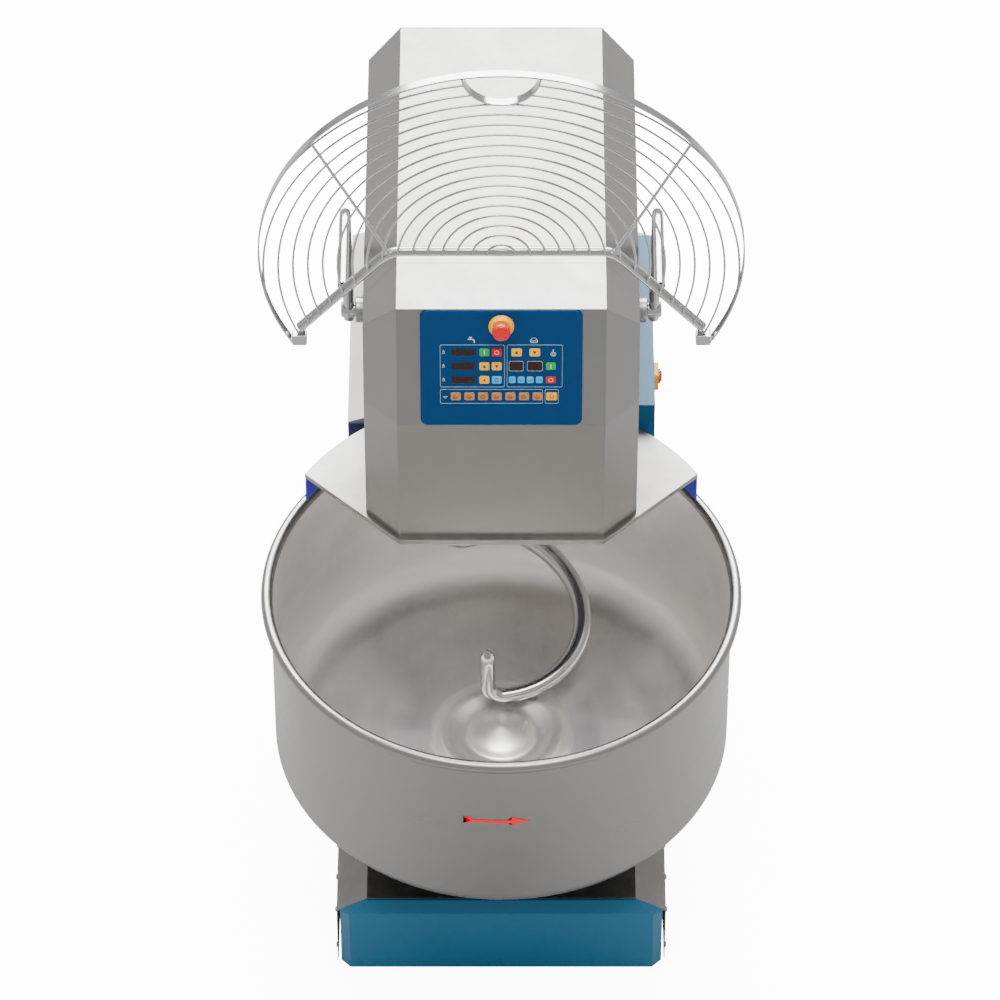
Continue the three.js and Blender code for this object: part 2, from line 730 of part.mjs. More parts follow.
// A flat loop that lies outside both pulleys, clear of them by more than its own facets dip.
const beltLoop = (bigRadius, smallRadius, from, to, z0, z1) => {
  const distance = to - from;
  const loop = (grow) => {
    const big = bigRadius + grow;
    const small = smallRadius + grow;
    const lean = Math.asin((big - small) / distance);
    const bigArc = arcPoints(big, Math.PI - lean, 2 * Math.PI + lean, 18, from);
    const smallArc = arcPoints(small, lean, Math.PI - lean, 8, to);
    return outline([...bigArc, ...smallArc]);
  };
  const outer = slab(loop(belt.clearance + belt.thickness), z0, z1);
  return cut(outer, slab(loop(belt.clearance), z0 - 1, z1 + 1));
};

// An upright motor between z0 and z1, with its mounting flange on one end.
const motorSolid = (at, z0, z1, flangeUp) => {
  const neck = flangeUp ? z1 : z0 - motor.flange;
  const body = post(motor.radius, z0, z1, 0, at);
  return join(body, post(motor.radius + 26, neck, neck + motor.flange, 0, at));
};

const addBowlDrive = () => {
  const d = bowlDrive;
  const z0 = d.level - d.pulleyHeight / 2;
  const z1 = d.level + d.pulleyHeight / 2;
  add('bowl_pulley', 'cast', turned(pulleyProfile(d.pulleyRadius, bowlShaft.radius + GAP, z0, z1, belt.grooves), ROUND));
  add('bowl_motor_pulley', 'cast', turned(pulleyProfile(d.motorPulleyRadius, motor.shaft + GAP, z0, z1, belt.grooves),
    SMALL_ROUND, 0, bowlMotorAt));
  add('bowl_belt', 'rubber', beltLoop(d.pulleyRadius, d.motorPulleyRadius, 0, bowlMotorAt, z0 + 6, z1 - 6));

  const housing = turned([
    [bowlShaft.radius + RUNNING, z1 + 14], [96, z1 + 14], [96, base.deckHeight - SHEET - 14],
    [150, base.deckHeight - SHEET - 14], [150, base.deckHeight - SHEET - GAP], [98, base.deckHeight - SHEET - GAP],
    [98, base.deckHeight + 40], [bowlShaft.radius + RUNNING, base.deckHeight + 40],
    [bowlShaft.radius + RUNNING, z1 + 14],
  ], ROUND);
  add('bowl_bearing_housing', 'cast', housing);

  const motorFoot = base.deckHeight + GAP + motor.flange;
  add('bowl_motor', 'cast', motorSolid(bowlMotorAt, motorFoot, motorFoot + motor.length, false));
  add('bowl_motor_shaft', 'steel', turned([
    [0, z0 - 4], [motor.shaft, z0 - 4], [motor.shaft, base.deckHeight], [0, base.deckHeight],
  ], SMALL_ROUND, 0, bowlMotorAt));
};

const addSpiralDrive = () => {
  const d = spiralDrive;
  const z0 = spiralPulleyBottom;
  const z1 = z0 + d.pulleyHeight;
  add('spiral_pulley', 'cast', turned(pulleyProfile(d.pulleyRadius, spiralShaft.radius + GAP, z0, z1, belt.grooves),
    ROUND, 0, hookAxis));
  add('spiral_motor_pulley', 'cast', turned(
    pulleyProfile(d.motorPulleyRadius, motor.shaft + GAP, z0, z1, belt.grooves), SMALL_ROUND, 0, spiralMotorAt));
  add('spiral_belt', 'rubber', beltLoop(d.pulleyRadius, d.motorPulleyRadius, hookAxis, spiralMotorAt, z0 + 8, z1 - 8));

  const seat = headBottom + 18;
  const r = spiralShaft.radius + RUNNING;
  add('spiral_bearing_housing', 'cast', turned([
    [r, seat], [120, seat], [120, seat + 20], [80, seat + 20], [70, z0 - 40], [r, z0 - 40], [r, seat],
  ], ROUND, 0, hookAxis));
  const motorTop = z0 - 46;
  add('spiral_motor', 'cast', motorSolid(spiralMotorAt, motorTop - motor.length, motorTop, true));
  add('spiral_motor_shaft', 'steel', turned([
    [0, motorTop + motor.flange + GAP], [motor.shaft, motorTop + motor.flange + GAP], [motor.shaft, z1 + 6], [0, z1 + 6],
  ], SMALL_ROUND, 0, spiralMotorAt));

  // A thick plate carries the bearing housing; a shelf above it carries the motor.
  const floorPlate = block(-250, 250, head.front + 70, headBack - 50, headBottom + 12, seat - GAP);
  const hole = post(60, headBottom, seat + 10, 0, hookAxis);
  const wallPlate = block(-250, 250, headBack - 62, headBack - 50, headBottom + 12, motorTop + 30);
  const shelfHole = post(motor.radius + 12, motorTop - 60, motorTop + 60, 0, spiralMotorAt);
  const shelf = block(-250, 250, spiralMotorAt - 150, headBack - 50, motorTop - 14 - GAP, motorTop - GAP);
  add('head_frame', 'cast', join(cut(floorPlate, hole), wallPlate, cut(shelf, shelfHole)));
};

// ---------------------------------------------------------------- wire guard

// Guard pieces are drawn upright: x across, z measured up from the chord tube's level.
const guardPlaneY = guard.pivotBack - (pivotHeight - guardPlane);
const guardCentreZ = pivotHeight + guard.pivotBack;

// One wire of the grid.
const guardArc = (radius, from, to, depth) => {
  const steps = Math.max(6, Math.round((radius * (to - from)) / guard.facet));
  const curve = new THREE.CatmullRomCurve3(arcPoints(radius, from, to, steps, -guard.drop * radius)
    .map(([x, z]) => new THREE.Vector3(x, depth, z)));
  return wireAlong(curve, guard.wire, steps, 4);
};

const diagonalSlope = guard.diagonalDrop / (guard.diagonalEnd - guard.chordHalf);

// Angle at which a wire meets the chord tube or, past its ends, the diagonal tube.
const arcStart = (radius) => {
  const level = Math.asin(guard.drop);
  if (radius * Math.cos(level) <= guard.chordHalf) return level;
  let angle = level;
  const offset = (a) => (
    radius * (guard.drop - Math.sin(a)) - diagonalSlope * (radius * Math.cos(a) - guard.chordHalf)
  );
  while (offset(angle) < 0 && angle > -1) angle -= 0.004;
  return angle;
};

const addGuard = () => {
  const wireY = -(guard.tube + guard.wire * 0.2);
  const bandEnd = cornerBack - guard.endGap;
  const end = -Math.asin(bandEnd / guard.radius);
  const bandOuter = arcPoints(guard.radius, end, Math.PI - end, 40);
  const bandInner = arcPoints(guard.radius - guard.band, Math.PI - end, end, 40);
  const hoop = bar(outline([...bandOuter, ...bandInner]), -guard.tube - guard.bandDepth / 2, -guard.tube + guard.bandDepth / 2);
  const notchCentre = guard.radius;
  const cutter = new THREE.CylinderGeometry(guard.notch, guard.notch, 90, ROUND).translate(0, 0, notchCentre);
  const notchFrom = Math.PI + 0.1;
  const notchTo = 2 * Math.PI - 0.1;
  const notchShape = outline([
    ...arcPoints(guard.notch + guard.band, notchFrom, notchTo, 14),
    ...arcPoints(guard.notch, notchTo, notchFrom, 14),
  ]);
  const notchBand = bar(notchShape, -guard.tube - guard.bandDepth / 2, -guard.tube + guard.bandDepth / 2)
    .translate(0, 0, notchCentre);

  const wires = [];
  const rise = guard.pitch * (1 - guard.drop);
  const count = Math.floor((guard.radius - guard.band - 12) / rise);
  for (let i = 1; i <= count; i += 1) {
    const radius = guard.pitch * i;
    const from = arcStart(radius);
    wires.push(guardArc(radius, from, Math.PI - from, wireY));
  }
  const spokes = sides.map(([, sign]) => {
    const reach = guard.radius - guard.band / 2;
    const angle = 0.683;
    return straight([sign * guard.chordHalf, wireY, 0],
      [sign * reach * Math.cos(angle), wireY, reach * Math.sin(angle)], guard.bar, 6);
  });
  const chord = straight([-guard.chordHalf - 4, 0, 0], [guard.chordHalf + 4, 0, 0], guard.tube, 10);
  const diagonals = sides.map(([, sign]) => straight([sign * guard.chordHalf, 0, 0],
    [sign * guard.diagonalEnd, 0, -guard.diagonalDrop], guard.tube, 10));
  const knuckles = sides.map(([, sign]) => (
    new THREE.SphereGeometry(guard.tube, 10, 6).translate(sign * guard.chordHalf, 0, 0)
  ));
  const ends = sides.map(([, sign]) => {
    const x = sign * (guard.radius * Math.cos(end) - 13);
    return block(x - 16, x + 16, -guard.tube - 10, guard.tube - 4, -bandEnd - 1, -bandEnd + 26);
  });
  const middle = guard.radius - guard.band / 2;
  const within = new THREE.CylinderGeometry(middle, middle, 90, 64);
  const opened = wires.map(toSolid).reduce((whole, next) => whole.add(next))
    .intersect(toSolid(within)).subtract(toSolid(cutter));
  const rest = [hoop, notchBand, ...spokes, chord, ...diagonals, ...knuckles, ...ends].map(toSolid);
  const grid = toGeometry(rest.reduce((whole, next) => whole.add(next), opened));
  add('guard_grid', 'polished', grid.translate(0, guardPlaneY, guardCentreZ));

  sides.forEach(([side, sign]) => {
    const x = sign * guard.armSpan;
    const z = guardCentreZ - diagonalSlope * (guard.armSpan - guard.chordHalf);
    const startY = guardPlaneY + guard.tube + GAP + 3;
    const elbow = 42;
    const turnY = guardPlaneY + guard.armReach;
    const dropY = guard.pivotBack - turnY;
    const dropZ = pivotHeight - z;
    const span = Math.hypot(dropY, dropZ);
    const pathPoints = new THREE.CurvePath();
    const a = new THREE.Vector3(x, startY, z);
    const b = new THREE.Vector3(x, turnY - elbow, z);
    const corner = new THREE.Vector3(x, turnY, z);
    const c = new THREE.Vector3(x, turnY + (dropY * elbow) / span, z + (dropZ * elbow) / span);
    const tail = 1 + guard.armTail / span;
    const end = new THREE.Vector3(x, turnY + dropY * tail, z + dropZ * tail);
    pathPoints.add(new THREE.LineCurve3(a, b));
    pathPoints.add(new THREE.QuadraticBezierCurve3(b, corner, c));
    pathPoints.add(new THREE.LineCurve3(c, end));
    const smooth = new THREE.CatmullRomCurve3(pathPoints.getSpacedPoints(14), false, 'centripetal');
    const tubeSolid = wireAlong(smooth, guard.armTube, 16, 8);
    const saddle = crossPin(guard.armTube + 3, x - 14, x + 14, startY + guard.armTube, z, 12);
    const inner = Math.min(sign * (head.halfWidth + pivot.hubLength + 2 * GAP), sign * (guard.armSpan + 17));
    const outerX = Math.max(sign * (head.halfWidth + pivot.hubLength + 2 * GAP), sign * (guard.armSpan + 17));
    const boss = crossPin(pivot.radius, inner, outerX, guard.pivotBack, pivotHeight);
    const pinInner = sign * (head.halfWidth - 14);
    const pin = crossPin(pivot.pinRadius, Math.min(pinInner, inner + 1), Math.max(pinInner, outerX - 1),
      guard.pivotBack, pivotHeight, SMALL_ROUND);
    add(`guard_arm_${side}`, 'polished', join(tubeSolid, saddle, boss, pin));
    const hubNear = sign * (head.halfWidth + GAP);
    const hubFar = sign * (head.halfWidth + GAP + pivot.hubLength);
    const hub = cut(
      crossPin(pivot.hubRadius, Math.min(hubNear, hubFar), Math.max(hubNear, hubFar), guard.pivotBack,
        pivotHeight),
      crossPin(pivot.pinRadius + RUNNING, Math.min(hubNear, hubFar) - 5, Math.max(hubNear, hubFar) + 5,
        guard.pivotBack, pivotHeight, SMALL_ROUND),
    );
    add(`guard_hub_${side}`, 'steel', hub);
  });
};

// ---------------------------------------------------------------- cable inlet

const addInlet = () => {
  const body = new THREE.LatheGeometry([
    [6, 0], [gland.radius + 5, 0], [gland.radius + 5, 5], [gland.radius, 6], [gland.radius, gland.length - 6],
    [gland.radius - 5, gland.length], [6, gland.length], [6, 0],
  ].map(([r, z]) => new THREE.Vector2(r, z)), SMALL_ROUND).translate(200, 0, 0);
  add('cable_gland', 'grey_plastic', body.translate(0, back + GAP, 95));
};

addBase();
addCasingScrews();
addColumn();
addCabinet();
addHead();
addFlange();
addPanel();
addCoverPlate();
addBowl();
addHook();
addBowlDrive();
addSpiralDrive();
addGuard();
addInlet();

// The origin is the middle of the footprint on the floor.
const rearmost = back + GAP + gland.length;
machine.position.y = (bowl.rimRadius - rearmost) / 2;

export default group;
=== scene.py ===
"""Finished pieces, materials, stage and camera of a spiral dough mixer."""
import json
import math

import bmesh
import bpy
from bpy.props import FloatProperty, FloatVectorProperty, IntProperty, PointerProperty
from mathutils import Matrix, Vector


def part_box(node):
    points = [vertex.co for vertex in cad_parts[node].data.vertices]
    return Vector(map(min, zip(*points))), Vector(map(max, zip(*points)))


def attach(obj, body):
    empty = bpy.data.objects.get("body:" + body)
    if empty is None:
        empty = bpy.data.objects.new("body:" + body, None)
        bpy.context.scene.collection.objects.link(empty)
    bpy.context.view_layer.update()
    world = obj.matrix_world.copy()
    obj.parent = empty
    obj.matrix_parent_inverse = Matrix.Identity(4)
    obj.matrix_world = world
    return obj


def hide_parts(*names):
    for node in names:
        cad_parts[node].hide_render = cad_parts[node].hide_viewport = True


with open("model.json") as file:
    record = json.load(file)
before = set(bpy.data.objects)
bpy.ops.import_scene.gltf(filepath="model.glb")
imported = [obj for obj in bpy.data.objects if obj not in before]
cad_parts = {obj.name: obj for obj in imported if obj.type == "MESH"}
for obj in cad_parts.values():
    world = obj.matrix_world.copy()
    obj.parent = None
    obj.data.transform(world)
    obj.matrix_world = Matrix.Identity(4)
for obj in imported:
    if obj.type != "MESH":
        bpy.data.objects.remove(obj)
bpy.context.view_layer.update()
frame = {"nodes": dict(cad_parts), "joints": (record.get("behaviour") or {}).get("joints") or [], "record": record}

bl_info = {
    "name": "Spiral dough mixer",
    "version": (1, 0, 0),
    "blender": (4, 5, 0),
    "location": "3D View > Sidebar > Dough mixer",
    "description": "Adds the finished pieces of a spiral dough mixer over its packed solids",
    "category": "Add Mesh",
}

JOINTS = {joint["name"]: joint for joint in frame["joints"]}
BOWL_Y = JOINTS["bowl_spin"]["pos_m"][1]
HOOK_Y = JOINTS["spiral_spin"]["pos_m"][1]
PIVOT = Vector(JOINTS["guard_hinge"]["pos_m"])
PRESS = Vector(JOINTS["emergency_stop_press"]["axis"])
SIDES = (("left", -1), ("right", 1))
MM = 0.001

# The stage: metal mirrors a darker floor and sky than the ones that are seen or that light the part.
FLOOR_TONE = (0.80, 0.80, 0.80, 1.0)
FLOOR_MIRRORED = (0.36, 0.36, 0.36, 1.0)
FLOOR_GLOW = 11.0
SKY_TONE = (1.0, 1.0, 1.0, 1.0)
SKY_MIRRORED = (0.85, 0.85, 0.86, 1.0)
SKY_STRENGTH = 0.85
BACK_WATTS = 6000
OVERHEAD_WATTS = 420
BLACK, WHITE = (0.0, 0.0, 0.0, 1.0), (1.0, 1.0, 1.0, 1.0)


# ---------------------------------------------------------------- sizes and colours

def length(name, description, default):
    return FloatProperty(name=name, description=description, default=default, min=0.0, unit="LENGTH",
                         precision=4)


def colour(name, description, default):
    return FloatVectorProperty(
        name=name, description=description, default=default, size=3, subtype="COLOR", min=0.0, max=1.0
    )


class BowlSizes(bpy.types.PropertyGroup):
    wall_radius: length("Wall radius", "Outer radius of the upright wall", 0.503)
    wall: length("Wall", "Thickness of the sheet", 0.005)
    bead: length("Rim bead", "Radius of the rolled rim", 0.013)
    outer_fillet: length("Outer fillet", "Radius under the bowl", 0.045)
    inner_fillet: length("Inner fillet", "Radius between the wall and the floor", 0.095)
    ring_radius: length("Ring radius", "Raised ring on the floor", 0.135)
    boss_radius: length("Boss radius", "Dome in the middle of the floor", 0.074)
    boss_height: length("Boss height", "Height of the dome", 0.030)
    arrow_length: length("Arrow length", "Length of the arrow on the wall", 0.124)
    segments: IntProperty(name="Segments", description="Facets around the bowl", default=192, min=48)


class HookSizes(bpy.types.PropertyGroup):
    radius: length("Sweep radius", "Radius that the lower turn sweeps", 0.183)
    tip_radius: length("Tip radius", "Radius of the bar at its free end", 0.015)
    root_radius: length("Root radius", "Radius of the bar where it joins the root", 0.027)
    floor_gap: length("Floor gap", "Height of the bar's centre above the bowl's floor", 0.037)
    stub: length("Stub", "Height of the upright free end", 0.150)
    bend: length("Bend", "Radius between the free end and the turn", 0.038)
    turns: FloatProperty(name="Turns", description="Turns from the bend to the root", default=0.88, min=0.2)


class GuardSizes(bpy.types.PropertyGroup):
    pitch: length("Pitch", "Radius added from one wire to the next", 0.0312)
    drop: FloatProperty(name="Drop", description="Part of its radius a wire's centre is below the chord",
                        default=0.093, min=0.0, max=0.5)
    wire: length("Wire radius", "Radius of the thin wires", 0.0026)
    spoke: length("Spoke radius", "Radius of the two straight wires", 0.0036)
    tube: length("Tube radius", "Radius of the frame tubes", 0.011)
    arm: length("Arm radius", "Radius of the side arms", 0.012)
    band: length("Band", "Thickness of the hoop", 0.004)
    band_depth: length("Band depth", "Width of the hoop", 0.020)
    notch: length("Notch radius", "Radius of the pouring notch", 0.079)
    chord_half: length("Chord", "Half length of the straight tube", 0.234)
    diagonal_end: length("Diagonal end", "How far out the slanting tubes end", 0.426)
    diagonal_drop: length("Diagonal drop", "How far the slanting tubes drop", 0.222)
    spoke_angle: FloatProperty(name="Spoke angle", description="Where a spoke meets the hoop", default=0.683,
                               subtype="ANGLE")
    arm_span: length("Arm span", "Distance of each side arm from the middle", 0.334)
    arm_reach: length("Arm reach", "From the frame tubes back to the arm's bend", 0.261)
    arm_bend: length("Arm bend", "How far from its corner the arm starts to bend", 0.050)
    arm_tail: length("Arm tail", "How far an arm runs on past its pivot", 0.030)
    head_half: length("Head half width", "Half width of the head between the pivots", 0.295)
    hub_length: length("Hub length", "Length of the pivot hub", 0.024)
    boss_end: length("Boss end", "Outer end of an arm's pivot boss", 0.351)


class PanelSizes(bpy.types.PropertyGroup):
    thickness: length("Foil thickness", "Thickness of the panel", 0.004)
    corner: length("Corner", "Corner radius of the panel", 0.016)
    key_proud: length("Key height", "How far a key stands out of the foil", 0.0012)


class Colours(bpy.types.PropertyGroup):
    stainless: colour("Stainless", "Brushed casing sheet", (0.250, 0.245, 0.236))
    bowl_steel: colour("Bowl", "Turned bowl sheet", (0.290, 0.282, 0.274))
    chrome: colour("Polished", "Hook, guard and screws", (0.46, 0.455, 0.45))
    blue_paint: colour("Blue paint", "Cap and switch cabinet", (0.008, 0.098, 0.190))
    blue_foil: colour("Blue foil", "Control panel", (0.0006, 0.034, 0.118))
    blue_plastic: colour("Blue plastic", "Skirt under the plate", (0.030, 0.032, 0.52))
    red: colour("Red", "Stop button, knob and keys", (0.56, 0.004, 0.008))
    yellow: colour("Yellow", "Collar, switch plate and keys", (0.90, 0.40, 0.004))
    green: colour("Green", "Start keys", (0.02, 0.33, 0.06))


# ---------------------------------------------------------------- shader node groups

def new_group(name, inputs, outputs):
    tree = bpy.data.node_groups.new(name, "ShaderNodeTree")
    for label, kind, default in inputs:
        socket = tree.interface.new_socket(name=label, in_out="INPUT", socket_type=kind)
        socket.default_value = default
    for label, kind in outputs:
        tree.interface.new_socket(name=label, in_out="OUTPUT", socket_type=kind)
    source = tree.nodes.new("NodeGroupInput")
    sink = tree.nodes.new("NodeGroupOutput")
    return tree, source.outputs, sink.inputs


def add_node(tree, kind, links=(), **settings):
    """A node with its settings; links pairs an input's name or index with a socket or a value."""
    made = tree.nodes.new(kind)
    for key, value in settings.items():
        setattr(made, key, value)
    for key, value in links:
        if isinstance(value, bpy.types.NodeSocket):
            tree.links.new(value, made.inputs[key])
        else:
            made.inputs[key].default_value = value
    return made


VALUE, VECTOR = "NodeSocketFloat", "NodeSocketVector"


def group_brushed():
    """Fine streaks drawn out along one direction."""
    tree, get, put = new_group(
        "Brushed grain",
        (("Stretch", VECTOR, (6.0, 260.0, 260.0)), ("Waviness", VALUE, 0.2)),
        (("Height", VALUE), ("Streaks", VALUE)),
    )
    place = add_node(tree, "ShaderNodeTexCoord")
    stretched = add_node(tree, "ShaderNodeMapping",
                         (("Vector", place.outputs["Object"]), ("Scale", get["Stretch"])))
    fine = add_node(
        tree, "ShaderNodeTexNoise",
        (("Vector", stretched.outputs[0]), ("Scale", 1.0), ("Detail", 3.0), ("Roughness", 0.65),
         ("Distortion", get["Waviness"])),
    )
    broad = add_node(
        tree, "ShaderNodeTexNoise", (("Vector", stretched.outputs[0]), ("Scale", 0.16), ("Detail", 2.0)),
    )
    both = add_node(tree, "ShaderNodeMath", ((0, fine.outputs[0]), (1, broad.outputs[0])), operation="ADD")
    tree.links.new(fine.outputs[0], put["Height"])
    half = add_node(tree, "ShaderNodeMath", ((0, both.outputs[0]), (1, 0.5)), operation="MULTIPLY")
    tree.links.new(half.outputs[0], put["Streaks"])
    return tree


def group_turned():
    """Fine rings left by turning or spinning about an upright axis."""
    tree, get, put = new_group(
        "Turned rings",
        (("Centre", VECTOR, (0.0, 0.0, 0.0)), ("Fineness", VALUE, 240.0)),
        (("Height", VALUE), ("Streaks", VALUE)),
    )
    place = add_node(tree, "ShaderNodeTexCoord")
    offset = add_node(
        tree, "ShaderNodeVectorMath", ((0, place.outputs["Object"]), (1, get["Centre"])), operation="SUBTRACT"
    )
    parts = add_node(tree, "ShaderNodeSeparateXYZ", ((0, offset.outputs[0]),))
    flat = add_node(tree, "ShaderNodeCombineXYZ", ((0, parts.outputs[0]), (1, parts.outputs[1]), (2, 0.0)))
    radius = add_node(tree, "ShaderNodeVectorMath", ((0, flat.outputs[0]),), operation="LENGTH")
    angle = add_node(
        tree, "ShaderNodeMath", ((0, parts.outputs[0]), (1, parts.outputs[1])), operation="ARCTAN2"
    )
    slow = add_node(tree, "ShaderNodeMath", ((0, angle.outputs[0]), (1, 0.004)), operation="MULTIPLY")
    rings = add_node(tree, "ShaderNodeCombineXYZ", ((0, radius.outputs["Value"]), (1, slow.outputs[0]),
                                                    (2, parts.outputs[2])))
    fine = add_node(
        tree, "ShaderNodeTexNoise",
        (("Vector", rings.outputs[0]), ("Scale", get["Fineness"]), ("Detail", 3.0), ("Roughness", 0.6)),
    )
    tree.links.new(fine.outputs[0], put["Height"])
    broad = add_node(tree, "ShaderNodeTexNoise",
                     (("Vector", rings.outputs[0]), ("Scale", 22.0), ("Detail", 3.0)))
    tree.links.new(broad.outputs[0], put["Streaks"])
    return tree


def group_cloudy():
    """Slow variation, as wiping and handling leave it."""
    tree, get, put = new_group(
        "Cloudy variation", (("Size", VALUE, 4.0), ("Contrast", VALUE, 1.0)), (("Value", VALUE),)
    )
    place = add_node(tree, "ShaderNodeTexCoord")
    noise = add_node(
        tree, "ShaderNodeTexNoise",
        (("Vector", place.outputs["Object"]), ("Scale", get["Size"]), ("Detail", 6.0), ("Roughness", 0.62),
         ("Distortion", 0.4)),
    )
    away = add_node(tree, "ShaderNodeMath", ((0, noise.outputs[0]), (1, 0.5)), operation="SUBTRACT")
    more = add_node(tree, "ShaderNodeMath", ((0, away.outputs[0]), (1, get["Contrast"])),
                    operation="MULTIPLY")
    back = add_node(tree, "ShaderNodeMath", ((0, more.outputs[0]), (1, 0.5)), operation="ADD", use_clamp=True)
    tree.links.new(back.outputs[0], put["Value"])
    return tree


def group_edges():
    """Rounds the shading of sharp edges and marks where they rub."""
    tree, get, put = new_group(
        "Edge wear", (("Radius", VALUE, 0.002), ("Spread", VALUE, 3.0)), (("Mask", VALUE), ("Normal", VECTOR))
    )
    rounded = add_node(tree, "ShaderNodeBevel", (("Radius", get["Radius"]),), samples=6)
    flat = add_node(tree, "ShaderNodeNewGeometry")
    dot = add_node(
        tree, "ShaderNodeVectorMath", ((0, rounded.outputs[0]), (1, flat.outputs["Normal"])),
        operation="DOT_PRODUCT",
    )
    away = add_node(tree, "ShaderNodeMath", ((0, 1.0), (1, dot.outputs["Value"])), operation="SUBTRACT")
    wide = add_node(tree, "ShaderNodeMath", ((0, away.outputs[0]), (1, get["Spread"])), operation="MULTIPLY",
                    use_clamp=True)
    place = add_node(tree, "ShaderNodeTexCoord")
    noise = add_node(
        tree, "ShaderNodeTexNoise", (("Vector", place.outputs["Object"]), ("Scale", 60.0), ("Detail", 4.0))
    )
    broken = add_node(tree, "ShaderNodeMath", ((0, wide.outputs[0]), (1, noise.outputs[0])),
                      operation="MULTIPLY",
                      use_clamp=True)
    tree.links.new(broken.outputs[0], put["Mask"])
    tree.links.new(rounded.outputs[0], put["Normal"])
    return tree


def group_speckle():
    """Small grains and pits of moulded, cast or painted surfaces."""
    tree, get, put = new_group(
        "Fine speckle", (("Size", VALUE, 900.0), ("Pits", VALUE, 0.3)), (("Height", VALUE), ("Value", VALUE))
    )
    place = add_node(tree, "ShaderNodeTexCoord")
    grain = add_node(
        tree, "ShaderNodeTexNoise",
        (("Vector", place.outputs["Object"]), ("Scale", get["Size"]), ("Detail", 2.0), ("Roughness", 0.6)),
    )
    cells = add_node(
        tree, "ShaderNodeTexVoronoi", (("Vector", place.outputs["Object"]), ("Scale", get["Size"]))
    )
    pits = add_node(tree, "ShaderNodeMath", ((0, cells.outputs["Distance"]), (1, get["Pits"])),
                    operation="MULTIPLY")
    both = add_node(tree, "ShaderNodeMath", ((0, grain.outputs[0]), (1, pits.outputs[0])), operation="ADD")
    tree.links.new(both.outputs[0], put["Height"])
    tree.links.new(grain.outputs[0], put["Value"])
    return tree


def group_flour():
    """Flour dust that settles on what faces up."""
    tree, get, put = new_group(
        "Settled flour", (("Amount", VALUE, 0.3), ("Size", VALUE, 14.0)), (("Mask", VALUE),)
    )
    normal = add_node(tree, "ShaderNodeNewGeometry")
    parts = add_node(tree, "ShaderNodeSeparateXYZ", ((0, normal.outputs["Normal"]),))
    up = add_node(tree, "ShaderNodeMapRange",
                  ((0, parts.outputs[2]), (1, 0.55), (2, 1.0), (3, 0.0), (4, 1.0)))
    place = add_node(tree, "ShaderNodeTexCoord")
    noise = add_node(
        tree, "ShaderNodeTexNoise",
        (("Vector", place.outputs["Object"]), ("Scale", get["Size"]), ("Detail", 7.0), ("Roughness", 0.7)),
    )
    patchy = add_node(tree, "ShaderNodeMapRange",
                      ((0, noise.outputs[0]), (1, 0.42), (2, 0.75), (3, 0.0), (4, 1.0)))
    both = add_node(tree, "ShaderNodeMath", ((0, up.outputs[0]), (1, patchy.outputs[0])),
                    operation="MULTIPLY")
    scaled = add_node(tree, "ShaderNodeMath", ((0, both.outputs[0]), (1, get["Amount"])),
                      operation="MULTIPLY",
                      use_clamp=True)
    tree.links.new(scaled.outputs[0], put["Mask"])
    return tree


GROUP_MAKERS = {
    "Brushed grain": group_brushed,
    "Turned rings": group_turned,
    "Cloudy variation": group_cloudy,
    "Edge wear": group_edges,
    "Fine speckle": group_speckle,
    "Settled flour": group_flour,
}


def use_group(tree, name, **values):
    """Places one of the shared effects in a material with its own values."""
    effect = bpy.data.node_groups.get(name) or GROUP_MAKERS[name]()
    placed = tree.nodes.new("ShaderNodeGroup")
    placed.node_tree = effect
    for key, value in values.items():
        placed.inputs[key.replace("_", " ").capitalize()].default_value = value
    return placed


# ---------------------------------------------------------------- materials

def mixed(tree, mask, first, second):
    """Goes from the first colour to the second where the mask is bright."""
    mix = tree.nodes.new("ShaderNodeMix")
    mix.data_type = "RGBA"
    for socket, value in ((mix.inputs[0], mask), (mix.inputs[6], first), (mix.inputs[7], second)):
        if isinstance(value, bpy.types.NodeSocket):
            tree.links.new(value, socket)
        else:
            socket.default_value = value
    return mix.outputs[2]


def shade(base, factor):
    return tuple(min(1.0, channel * factor) for channel in base[:3]) + (1.0,)


